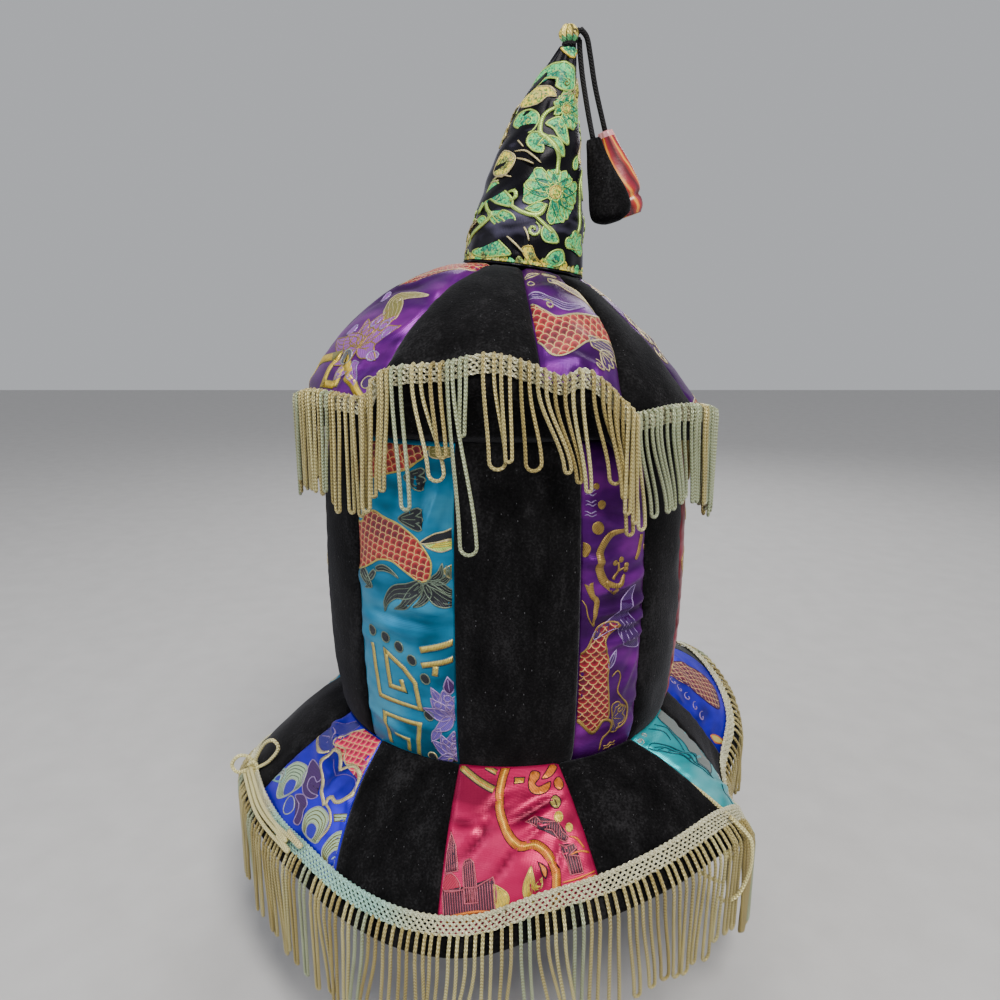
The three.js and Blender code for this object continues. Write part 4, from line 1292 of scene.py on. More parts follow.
def plume(pen, points, width, tint, edge, lines=2):
    """A long feathered fin along a line, wide by its head and pointed at its end."""
    run = curve(points, False, 2.5)
    share = np.linspace(0, 1, len(run))
    body = width * np.clip(np.sin(np.pi * (0.16 + 0.84 * share)) * (1.1 - 0.35 * share), 0.04, None)
    left, right = sides(run, body)
    pen.edged(np.concatenate((left, right[::-1])), tint, edge, 0.6, lift=0.3)
    for k in range(lines):
        inner = mix(left, right, (k + 1) / (lines + 1))[1:-1]
        pen.line(inner, edge, 0.3, lift=0.3 + VEIN_LIFT)


def trefoil(pen, size, tint, edge, heart):
    """A cloud outline of three lobes over a stem."""
    half = [(0.06, -0.9), (0.3, -0.35), (0.95, -0.35), (1.1, 0.2), (0.6, 0.5), (0.5, 1.0)]
    shape = np.array([(-x, y) for x, y in half] + [(0, 1.25)] + half[::-1]) * size
    pen.fill(shape, tint)
    pen.line(shape, edge, 1.3)
    pen.line(shape * 0.78, edge, 0.4, lift=0.42)
    dot(pen.to((0, 0.25 * size)), size * 0.3, heart, edge, lift=0.4)


def sprig(pen, size, tint):
    """A bent stalk with knobbed ends."""
    pen.line([(0, 0), (0.5 * size, 0.4 * size), (0.6 * size, size)], tint, (1.6, 1.2, 1.0))
    pen.line([(0.5 * size, 0.4 * size), (1.1 * size, 0.45 * size)], tint, (1.1, 1.0))
    for x, y in ((0.35, 1.05), (0.85, 1.1), (1.2, 0.55), (1.15, 0.25)):
        pen.fill(ring(size * 0.2) + np.array((x, y)) * size, tint, GOLD, 0.4)


def waves(pen, length, tint, rows=3):
    for k in range(rows):
        x = np.linspace(0, length, 8)
        pen.line(np.stack((x, 1.6 * k + 0.5 * np.sin(x * 1.5 + k)), 1), tint, (0.3, 0.65, 0.3))


def crown_turquoise(pen):
    """The front left crown panel."""
    carp(pen, [(-36, 172), (-36, 142), (-22, 142.5), (-6, 147), (5, 150), (11, 154), (15, 158),
               (16, 172)], grain=20)
    plume(pen, [(17, 159), (23, 159.5), (34, 160)], 7, "olive", "pale gold")
    lobed(pen.to((4, 146.4), -3), 12, 3, "black", "sage", 66)
    lobed(pen.to((1.6, 126.4), 3), 13.6, 3, "black", "sage", 60)
    carp(pen, [(-36, 96), (-36, 118), (-24, 121), (-21, 125), (-14.6, 128.2), (-6.8, 126), (1.5, 123.8),
               (9, 119.5), (14.2, 115), (18, 109.6), (19.4, 105), (17.7, 98.6), (13, 97), (8, 99.5),
               (3.7, 102), (-2, 105), (-9.8, 104.6), (-17, 100.8), (-25, 97)], grain=-32)
    pen.edged([(13.5, 116), (20, 120.6), (26.5, 122.7), (36, 127), (36, 119.5), (27, 118.5), (20, 116.5)],
              "black", "pale gold")
    pen.edged([(16, 115.5), (21, 116.8), (36, 119), (30, 115), (24, 112.6), (19, 113.6)], "lime",
              "pale gold", lift=0.3)
    for k in range(3):
        pen.line([(19 + k, 114.6 + 0.7 * k), (25, 115.2 + k), (30, 116.2 + k)], "bright gold", 0.5)
    for points, width, lines in (
        ([(-24, 97), (-19.5, 93.5), (-17, 90), (-21, 88)], 5, 2),
        ([(-13, 99), (-8, 100.6), (-3, 99.5), (1, 97)], 3.2, 1),
        ([(-14, 98), (-16, 94.5), (-19.5, 92.5)], 3.4, 1),
        ([(14, 96), (7, 91.5), (-1, 89.5), (-6, 84), (-8.5, 78)], 7.5, 2),
        ([(14, 95.5), (8.5, 89), (5, 84), (-1, 81)], 6.0, 2),
        ([(15, 96), (16.5, 91), (14, 87), (11, 85)], 5.0, 2),
        ([(16, 96), (21, 91), (27, 88), (34, 87)], 7.5, 2),
        ([(17, 97), (23, 95.5), (28, 92.5), (34, 92.5)], 4.5, 2),
        ([(19, 98), (23.5, 101.5), (24.5, 107)], 3.6, 2),
        ([(19, 97), (25.5, 98.5), (27.5, 102), (26.5, 106)], 3.0, 2),
    ):
        plume(pen, points, width, "black", "sage", lines)
    pen.edged([(25.5, 104.5), (34, 107), (34, 98), (28.5, 99.5)], "olive", "pale gold", 0.5)
    for x, y in ((-17.2, 66), (-8.1, 64.5), (0.2, 61.2), (7.6, 55.7), (14.6, 47), (15, 26.3)):
        dot(pen.to((x, y), -55), 2.9, "black", "sage", 0.82)
    for points, width in (
        ([(12.4, 62), (22, 65), (34, 69.4)], 2.9),
        ([(12.9, 54), (24, 57), (34, 60.8)], 2.7),
        ([(20.3, 54.5), (19.8, 49.4)], 2.7),
        ([(-17.6, 59), (-14.6, 30.6), (11.2, 29.4), (9, 43.5), (2.4, 50.5), (-8.4, 57.2), (-6.4, 38.4),
          (2.2, 38.2), (0.6, 43.6)], 2.3),
        ([(-12, 4), (-13.2, 20.4), (10, 20.6), (6.4, 2)], 2.3),
        ([(-7.5, 10.4), (1.6, 9.8), (0.4, 3)], 2.1),
    ):
        bar(pen, points, width)
    lotus(pen.to((27.5, 27), 14), 15, "lilac", "pale lilac")
    lotus(pen.to((27, 6), -4), 12.5, "lilac", "pale lilac")
    leaf(pen.to((21, 20), -122), 9.5, 4.6, "lilac", "pale lilac")
    leaf(pen.to((22, 35), 118), 9, 4.2, "lilac", "pale lilac")
    leaf(pen.to((27, 40), 96), 9.5, 5, "violet", "pale lilac")
    dot(pen.to((15, 3.2)), 2.6)
    dot(pen.to((26, 2.0)), 2.4)


def crown_purple(pen):
    """The front right crown panel."""
    for x, y, radius in ((-13.2, 142.6, 1.6), (-10.5, 133.7, 2.2), (-12.3, 122.7, 3.1),
                         (-19.8, 112.6, 3.7), (19.2, 108.5, 1.8)):
        pen.fill(ring(radius, 10) + (x, y), "old gold", GOLD, 0.4)
    pen.line([(2, 120), (-5.4, 119), (-10.4, 113.5), (-11.8, 105.5), (-10, 98), (-5.4, 92.4),
              (-1.8, 89.4)], "old gold", (2.0, 3.6, 3.9, 4.4, 3.0))
    pen.line([(-8, 95.5), (-2, 93.6), (3.4, 97.6)], "old gold", (3.4, 1.8, 1.2))
    sprig(pen.to((-3.8, 96.4), 12), 7.4, "old gold")
    pen.line([(14.4, 116), (13.2, 109), (10.2, 104)], "old gold", (2.2, 2.6, 1.6))
    pen.line([(-16.8, 96), (-15.4, 90), (-12.4, 86.4), (-14, 80), (-13.6, 74)], "old gold",
             (4.2, 2.4, 2.8, 1.6, 0.8))
    pen.line([(-21, 89), (-18, 85), (-17, 79), (-13.6, 73.6)], "old gold", 0.5)
    pen.edged([(-13.4, 67), (-12, 72), (-4, 77), (3, 85.6), (10.6, 91), (8.6, 84), (6.8, 78), (12.6, 66),
               (15, 57.6), (9, 58.4), (3, 62), (-1, 71)], "violet", "pale lilac", 0.4)
    for k in range(3):
        pen.line([(1 + 2.6 * k, 75 - k), (3.4 + 2.6 * k, 69.6 - k), (2 + 3.4 * k, 64.6 - k)],
                 "pale lilac", 0.4)
    carp(pen, [(-13.6, 69), (-11, 73.4), (-5, 75), (0, 72.6), (-7.2, 64.6), (-4.6, 55), (-4.6, 45),
               (-3, 33), (-2, 22), (-6, 20.5), (-10.6, 15.6), (-15, 19), (-18.6, 23.4), (-26, 24),
               (-26, 56), (-21, 58), (-17, 63)], "ruby", "old gold", 180)
    pen.line([(-26, 24), (-19, 22.4), (-10.4, 14.6), (-5.4, 20.8), (0.2, 18.6), (0.6, 13), (-3.6, 9),
              (-5, 4)], "old gold", (1.4, 1.9, 1.5, 0.8))
    lobed(pen.to((0.6, 20.5), 4), 9.5, 4, "violet", "old gold", 190)
    pen.line([(-2, 45), (1.4, 47.4), (3.8, 43), (2.4, 36), (5.6, 31), (9.4, 27), (12, 20), (9.4, 14.6),
              (4.2, 13)], "old gold", (0.5, 0.8, 0.8, 1.3, 0.8))
    curl(pen.to((5.2, 24.5), 40), 3.2, "old gold", 0.8)
    leaf(pen.to((-4.4, 50), 64), 10, 3.4, "violet", "pale lilac")
    for x, y in ((-18.6, 139), (-18.4, 134), (-18.8, 129)):
        waves(pen.to((x, y)), 5, "pale lilac", 2)
    waves(pen.to((-2, 3.5), 8), 8, "old gold", 2)


def hatched(pen, outline, gap, slant=0.0):
    """A plum shape with thin pink lines up it, each cut off at its outline."""
    pen.edged(outline, "plum", "pink", 0.5, round=False)
    cos, sin = math.cos(math.radians(slant)), math.sin(math.radians(slant))
    turn = np.array(((cos, -sin), (sin, cos)))
    points = np.asarray(outline, float) @ turn
    after = np.roll(points, -1, 0)
    for x in np.arange(points[:, 0].min() + gap / 2, points[:, 0].max(), gap):
        crossing = (points[:, 0] < x) != (after[:, 0] < x)
        a, b = points[crossing], after[crossing]
        y = np.sort(mix(a[:, 1], b[:, 1], (x - a[:, 0]) / (b[:, 0] - a[:, 0])))
        for low, high in zip(y[::2], y[1::2]):
            if high - low > 1.2:
                pen.line([turn @ (x, low + 0.3), turn @ (x, high - 0.3)], "pink", 0.34, lift=0.4)


# How large a striped arch's heart is
HEART_SHARE = 0.45


def nested(pen, outline, tint, edge, dark, bands):
    """A striped arch on its foot: dark lines one inside the other round a blue heart."""
    outline = np.asarray(outline, float)
    foot = (outline[0] + outline[-1]) / 2
    pen.edged(outline, tint, edge, 0.55)
    for k in range(1, bands):
        pen.line(mix(foot, outline, 1 - (1 - HEART_SHARE) * k / bands), dark, 0.5, lift=0.4)
    pen.edged(mix(foot, outline, HEART_SHARE), "blue", edge, 0.5, lift=0.38)


def brim_crimson(pen):
    """The brim's front panel; y runs from the crown outwards."""
    vine = [(-1, -1), (-3.4, 5), (-5.2, 12), (-5.8, 20), (-4.2, 27), (-1.7, 33.4), (2.6, 37.8),
            (8.2, 38.4), (12.9, 41.8), (16.6, 48.2), (17.7, 53.6), (17.2, 60), (16.6, 66)]
    for tint, width, lift in (("plum", 4.6, 0.08), ("orange", 3.9, 0.4), ("amber", 1.6, 0.5)):
        pen.line(vine, tint, width, lift=lift)
    for points, width in (([(-24.4, 1.2), (-15.6, 6.8), (-8, 11)], 3.0),
                          ([(-11.6, 0.2), (-6.4, 3)], 2.2)):
        bar(pen, points, width, "gold", "plum")
        pen.line(points, "orange", 0.5, lift=0.5)
    pen.edged([(2.2, 5.7), (7.3, 6.2), (6.6, 9), (1.8, 9)], "amber", "plum", 0.5, GOLD, 0.3, round=False)
    pen.edged([(10.6, 3.6), (8.7, 9.1), (9.4, 14.1), (13.8, 16.4), (18.3, 14.5), (19.7, 10), (16.2, 11.2),
               (13.4, 12), (12, 10), (14.2, 7.7), (15, 4.5), (12.5, 3.2)],
              "orange", "plum", 0.5, GOLD, 0.3)
    pen.edged([(15.6, 8), (20.5, 7.2), (24.3, 2.3), (21.3, 0.2), (18.2, 4.1)], "orange", "plum", 0.5,
              GOLD, 0.3)
    pen.edged(ring(2.5, 10, 1.5) + (23.7, 11.8), "orange", "plum", 0.45, GOLD, 0.3)
    pen.edged(ring(2.6, 10, 1.4) + (20.9, 20.9), "gold", "plum", 0.45, GOLD, 0.3)
    pen.line([(20.6, 18), (21.2, 23.8)], "plum", 0.5)
    pen.edged(ring(2.2, 9, 1.2) + (21.5, 28.4), "bright gold", "gold", 0.4, GOLD, 0.3)
    pen.edged(ring(1.7, 9, 1.3) + (25.9, 34.5), "bright gold", "gold", 0.4, GOLD, 0.3)
    hatched(pen, [(5.8, 27.7), (10.3, 25.9), (12.4, 29.1), (20.9, 30.4), (22.2, 35.9), (25.1, 38.6),
                  (23.9, 40.9), (20.1, 38.6), (17.6, 34.1), (11.6, 31.8)], 1.2, 10)
    hatched(pen, [(20.4, 40.9), (23.2, 42.7), (27.2, 42.2), (28.6, 44.5), (24.3, 46.8), (29.3, 48.2),
                  (30.7, 55.9), (24.5, 55.4), (23.1, 49.5), (21.5, 45.4)], 1.2, -10)
    for points in ([(25.6, 38.6), (29, 40.4), (32.4, 45.4)], [(25.3, 46.8), (30, 46.2), (36.2, 48.6)],
                   [(20.4, 57.6), (28.3, 57.6), (38.1, 56.6)],
                   [(20.4, 59.4), (28.3, 59.2), (38.1, 58.2)]):
        pen.line(points, "orange", (0.6, 1.1, 0.7))
    hatched(pen, [(-29.5, 28.6), (-27.3, 34), (-26.8, 43.6), (-33.6, 45), (-31.8, 36)], 1.1)
    hatched(pen, [(-35.8, 51.3), (-25.5, 50.9), (-24.3, 50), (-18.9, 50), (-15.1, 48.6), (-10.8, 47.2),
                  (-9.6, 54.1), (-11.1, 60.4), (-19.6, 60.4), (-35.3, 62.2)], 1.2)
    hatched(pen, [(-24.8, 56), (-24.6, 42.4), (-23.4, 39.6), (-20.8, 38.8), (-19.2, 40.4), (-18.7, 45),
                  (-18.4, 56)], 1.0)
    pen.edged([(-34.7, 51.3), (-33.9, 46.4), (-30.4, 44.6), (-27.2, 47), (-26.6, 50.8)],
              "rose", "pink", 0.5)
    for y, tint in ((60.2, "orange"), (61.8, "amber"), (63.4, "orange")):
        pen.line([(-35.4, y + 1.4), (-28.2, y), (-19.6, y - 0.8), (-12.6, y + 0.4)], tint,
                 (0.8, 1.3, 0.9))
    leaf(pen.to((-7.4, 63), -104), 13, 6.4, "bright gold", "gold", 1.2, 3, GOLD)
    leaf(pen.to((5.4, 63), -86), 15.6, 5.6, "bright gold", "gold", -1.0, 3, GOLD)
    leaf(pen.to((7.6, 57.6), -50), 5.4, 2.8, "bright gold", "gold", 0.6, 0, GOLD)
    leaf(pen.to((12.8, 54), -112), 8.2, 2.6, "orange", "plum", 0.8, 0)


def brim_royal(pen):
    """The brim's front left panel; y runs from the crown outwards."""
    carp(pen, [(-6, 17), (-4, 9), (2, 3), (10, -2), (26, -2), (30, 10), (31, 24), (24, 20.6), (17, 18.4),
               (13, 20.6), (8, 18.6), (4, 15)], "cerise", "pale gold", 60)
    pen.edged([(-28.7, 21.5), (-21.7, 15.8), (-18.2, 10.5), (-10.2, 4.3), (-5, 0), (-1, 0.5), (-2, 4.8),
               (-6.2, 10.5), (-5.2, 16.2), (-5.7, 22.5), (-12.9, 23.9), (-21.9, 23.4)],
              "indigo", "lilac", 0.5)
    for points in ([(-21, 20), (-15, 17), (-13, 20)], [(-14, 12), (-9.6, 12.6), (-9.8, 17)]):
        pen.line(points, "pale lilac", (0.3, 0.7, 0.3))
    pen.line([(-28.6, 21.4), (-19.4, 24.4), (-9.9, 24.9), (-6.4, 21)], "pale gold", (1.6, 2.4, 2.4, 1.2))
    pen.line([(16.6, 43.4), (9, 38), (4, 33.6), (-1.6, 29.4), (-4.4, 24.4), (-2.2, 19), (3, 18.2),
              (7.6, 21), (11.4, 24.4), (15, 21), (19, 18.8), (23.6, 20.4), (26.6, 25), (27.4, 31),
              (25.6, 36), (22, 38.4), (18.6, 37.6), (16.4, 39.6), (17.6, 43)], "pale gold", 2.1)
    pen.line([(2, 22.6), (7, 26), (12.6, 28), (18, 24.4), (24, 24), (27.6, 29)], "lilac", 0.5)
    pen.line([(17.4, 42.4), (21.9, 43.4), (26.4, 47.4), (27, 52), (25.3, 58)], "pale gold",
             (1.2, 1.5, 1.4, 0.9))
    nested(pen, [(-39, 58), (-38.6, 53.1), (-34.4, 49.2), (-29.4, 47), (-26, 52)],
           "silver", "pale aqua", "sage", 3)
    nested(pen, [(-21.4, 59), (-27.9, 54.5), (-29.8, 48.3), (-27.4, 42.1), (-21.8, 37.8), (-12.6, 35.4),
                 (-8.9, 40.1), (-8.4, 45.6)], "pale green", "silver", "sage", 5)
    pen.edged([(-13.2, 31.1), (-5.8, 30.1), (-1.1, 31.1), (2.9, 33.9), (2.1, 36.8), (-2.5, 35.8),
               (-4.5, 38.2), (-2.7, 41.6), (3.2, 42.5), (9.1, 41.6), (5.9, 44.9), (-0.8, 45.9),
               (-6.8, 43.5), (-10.9, 40.1), (-11.3, 36.3)], "violet", "pale lilac", 0.55)
    pen.edged([(-7.8, 49.7), (-0.8, 45.9), (5, 48.3), (4.7, 52.1), (6, 55.9), (5.7, 59.7), (0.9, 59.7),
               (-0.3, 54.5), (-1.4, 51.1)], "violet", "pale lilac", 0.55)
    dot(pen.to((-9.4, 55.9)), 4.6, "blue", "silver")
    nested(pen, [(11.6, 60.4), (7.6, 54.5), (9.3, 49.2), (13.6, 45.4), (19.6, 44.9), (24.2, 46.8),
                 (25.7, 52.6), (24.6, 60.4)], "pale green", "silver", "olive", 4)
    nested(pen, [(36.1, 66), (30.5, 61.2), (30.5, 55.4), (32.8, 49.2), (37.3, 45.9), (39.1, 47.8),
                 (41.6, 53.5), (44.2, 60.3)], "pale green", "silver", "olive", 5)
    pen.edged([(25.8, 43.5), (33, 38.7), (35.8, 41.1), (28.5, 45.9)], "pale green", "olive", 0.5,
              round=False)
    pen.line([(27, 44.6), (34.4, 39.9)], "olive", 0.5)


def brim_aqua(pen):
    """The brim's front right panel; y runs from the crown outwards."""
    pen.edged([(10, 0.6), (6.4, 8), (5.2, 12), (3.1, 21), (-3, 31), (-5, 38), (-1.9, 43), (8, 39),
               (17, 30), (24, 18), (24, 6), (18, 0.6)], "dove", "deep teal", 0.7)
    for points in (
        [(-20.7, 11.4), (-17, 10.6), (-12.5, 15), (-9.6, 20.5), (-6.2, 27), (-3.6, 34), (-2.3, 46.5)],
        [(-18.6, 13.4), (-14.2, 16.4), (-11.6, 22.4), (-8.2, 30), (-5.6, 38), (-2.3, 46.5)],
        [(-20.7, 11.4), (-19.6, 15.6), (-16.8, 19.8), (-13.2, 25.7), (-9.5, 33.6), (-7.2, 41.5),
         (-2.3, 46.5)],
        [(0.8, 2.5), (4.2, 8.4), (2.6, 13.8), (-0.4, 19), (-4.6, 25.4)],
        [(-6, 2), (-2.4, 6), (-1.8, 11), (-4.4, 15.6)],
        [(-4, 51), (-3.4, 59), (-6, 66), (-11, 71)],
    ):
        pen.line(points, "deep teal", (0.4, 1.0, 0.8, 0.4))
    for x, y in ((-16.6, 14.4), (-13.4, 18.6), (-11, 23.6), (-8.8, 28.6)):
        pen.line([(x - 1.6, y + 1.6), (x + 1.6, y + 2.6)], "deep teal", 0.5)
    for x, y, radius in ((-19, 5, 2.6), (-13, 3, 2.0), (14, 47, 2.6), (8, 58, 2.2)):
        curl(pen.to((x, y), 9 * y), radius, "silver", 0.7)
    dot(pen.to((-19, 5)), 0.9, "red", "silver", 0.3)


def brim_far_royal(pen):
    """The brim's far right panel, past the sharp fold; y runs from the crown outwards."""
    pen.fill([(30, -2), (27, 20), (24.5, 34.4), (20.2, 48.9), (13, 70), (60, 70), (60, -2)], "black",
             lift=0.12)
    carp(pen, [(-12.5, 4), (-0.8, 9.8), (5.2, 24), (3.1, 43), (-3.3, 53), (-17.9, 54), (-22, 48),
               (-21.6, 33.9), (-17.4, 22.6), (-13.5, 12.7)], "mulberry", "violet", 60)
    for x, y in ((-21, 12), (-24, 17), (-27.6, 23), (-31, 30), (-34, 37)):
        curl(pen.to((x, y), 30), 3.4, "pale lilac", 0.7, turns=0.9)
    leaf(pen.to((-39, 49), 76), 15, 3.6, "gold", "orange", 0.6, 0)


def gore_left_purple(pen):
    """The front left canopy gore; y runs up from the rim."""
    carp(pen, [(-50, 46), (-38, 51), (-36, 60), (-27, 69), (-17, 77), (-6, 85), (2, 88), (12, 90),
               (20, 97), (22, 112), (-60, 112)], "rose", "pale gold", 30)
    lotus(pen.to((16, 37), 8), 20, "orchid", "old gold")
    leaf(pen.to((12, 40), 178), 26, 9, "orchid", "old gold", 3, 3)
    leaf(pen.to((18, 30), -60), 15, 7, "orchid", "pale lilac", 1, 2)
    leaf(pen.to((14, 30), -112), 12, 6, "orchid", "pale lilac", 1, 2)
    plume(pen, [(23, 51), (17, 57), (10, 62), (16, 66), (26, 68)], 9, "olive", "pale gold", 3)
    for x, y, radius in ((-4.3, 46, 2.8), (13, 50, 2.4), (21.6, 49, 2.4), (27.4, 44.5, 2.2),
                         (29.8, 32.8, 2.4), (-6, 65.5, 2.6)):
        dot(pen.to((x, y)), radius, "orchid", "pale lilac", lift=0.55)
    dot(pen.to((10, 31.6)), 4.6, "grey", "silver", 0.8, lift=0.55)
    bar(pen, [(-37, 10), (-31, 30), (0.6, 32.4), (-1.6, 16), (10, 15.6)], 4.2, "bright gold", "olive")
    bar(pen, [(10.8, 14.6), (11.6, 30), (34, 9)], 4.4, "bright gold", "olive")
    dot(pen.to((34, 19.5)), 3.4, "violet", "pale gold")


def gore_right_purple(pen):
    """The front right canopy gore; y runs up from the rim."""
    plume(pen, [(-3.4, 69.4), (6, 67), (15, 62), (24, 54)], 6.4, "violet", "pale gold", 3)
    plume(pen, [(-22, 56.6), (-14.6, 56.4), (-9, 53.4), (-3, 51), (9.6, 54)], 4.6,
          "violet", "pale lilac", 2)
    curl(pen.to((-12.6, 51.6), 30), 3, "pale gold", 0.8)
    carp(pen, [(-26, 52), (-16, 48), (-9.5, 45.4), (2, 48.4), (14, 50.4), (30, 53), (30, 42), (23, 40.4),
               (17, 41), (12.4, 40), (7, 36.6), (2.4, 34), (-5.4, 27.4), (-14.3, 26), (-19, 30),
               (-26, 37)], "red", "pale gold", -20)
    plume(pen, [(5, 35.6), (12, 36.6), (20, 35), (24, 28)], 8, "violet", "pale gold", 3)
    lobed(pen.to((10, 33), -30), 8, 3, "violet", "pale gold", 110)
    waves(pen.to((-23, 18), 88), 14, "silver", 3)
    curl(pen.to((8, 25)), 3.2, "pale gold", 0.8)
    leaf(pen.to((-17, 72), 20), 12, 3.4, "violet", "pale gold")
    leaf(pen.to((-4, 76), 8), 11, 2.8, "violet", "pale gold")
    dot(pen.to((-16, 66)), 1.8, "violet", "pale gold")


# How far apart strewn figures lie, along a panel and across it
STREWN_ALONG, STREWN_ACROSS = 31, 34


def strewn(panel, pen, seed, pale, deep, edge, scale_tint):
    """A panel out of the photograph: the same kinds of figures strewn over it in its own colours."""
    chance = np.random.default_rng(seed)
    rows = max(1, round(panel.length / STREWN_ALONG))
    for row in range(rows):
        y = (row + 0.5) * panel.length / rows
        wide = float(panel.width(y / panel.length))
        count = max(1, round(wide / STREWN_ACROSS))
        for column in range(count):
            x = ((column + 0.5) / count - 0.5) * wide + chance.uniform(-4, 4)
            spot = pen.to((x, y + chance.uniform(-4, 4)), chance.uniform(-30, 30),
                          flip=chance.random() > 0.5)
            kind = (row * 3 + column + seed) % 6
            if kind == 0:
                carp(spot, [(-15, -3), (-10, 6), (0, 8.6), (10, 6), (16, 0), (12, -5), (2, -3), (-8, -6)],
                     scale_tint, edge, 10)
                plume(spot, [(-14, -2), (-18, 4), (-19, 10)], 6, deep, edge)
                plume(spot, [(2, -3), (-2, -8), (-8, -11)], 5, deep, edge)
            elif kind == 1:
                lotus(spot.to((0, -6)), 13, pale, edge)
                leaf(spot.to((-3, -6), 205), 12, 5, deep, edge, 1)
            elif kind == 2:
                fret(spot.to((-9, -9)), 18, "gold", deep)
                dot(spot.to((14, 4)), 2.6, "black", edge)
            elif kind == 3:
                trefoil(spot, 8, deep, edge, pale)
                curl(spot.to((12, -8)), 4.4, edge)
            elif kind == 4:
                flower(spot, 10, 7, pale, edge, "gold")
                leaf(spot.to((7, -7), -40), 11, 5, deep, edge, 1)
                leaf(spot.to((-7, 6), 140), 11, 5, deep, edge, 1)
            else:
                lobed(spot.to((-4, 0), 20), 10, 5, deep, edge, 190)
                plume(spot, [(-2, 2), (-8, 7), (-15, 8)], 5, pale, edge)
                waves(spot.to((2, -12)), 12, edge)


def frond(pen, outline, tint="mint", deep="jade", edge="lime", width=0.9):
    """A shape in a raised line, deeper inside."""
    outline = np.array(outline, float)
    middle = outline.mean(0)
    pen.edged(outline, tint, edge, width)
    pen.fill(middle + 0.5 * (outline - middle), deep, lift=0.34)


def blossom(pen, petals, heart):
    """A flower of separate lobed petals, each a direction and a reach, round a heart."""
    for way, reach in petals:
        lobed(pen.to((0, 0), way), reach, 2, "mint", "lime", 54, False)
        leaf(pen.to((0, 0), way), reach * 0.78, reach * 0.3, "jade", "jade", veins=0, lift=0.36)
    flower(pen, heart * 1.5, 7, "mint", "lime", "bright gold", lift=0.44)
    dot(pen, heart, "bright gold", "gold", lift=0.6)


# The vine round the spire's sides and back: share of the way round, height, turn and kind
AROUND = [
    (0.58, 26, 20, "flower"), (0.9, 42, 0, "flower"), (-0.62, 30, 10, "flower"), (-0.9, 62, 30, "flower"),
    (0.66, 74, 0, "flower"), (0.78, 16, 100, "leaf"), (-0.8, 14, 80, "leaf"), (-0.94, 34, 60, "leaf"),
    (0.62, 52, 70, "leaf"), (-0.66, 54, 110, "leaf"), (-0.7, 78, 90, "leaf"), (0.9, 62, 120, "leaf"),
    (0.9, 92, 90, "leaf"), (0.96, 14, 0, "cloud"), (-0.5, 12, 20, "cloud"), (-0.54, 70, 30, "cloud"),
    (0.5, 90, 40, "cloud"), (-0.98, 84, 0, "cloud"),
]
# The stitches in a row round the spire's foot: their tints by turns, how many, and the step
FOOT_TINTS = ("bright gold", "mint", "olive", "bright gold", "gold")
FOOT_STITCHES, FOOT_STEP = 48, 4.2


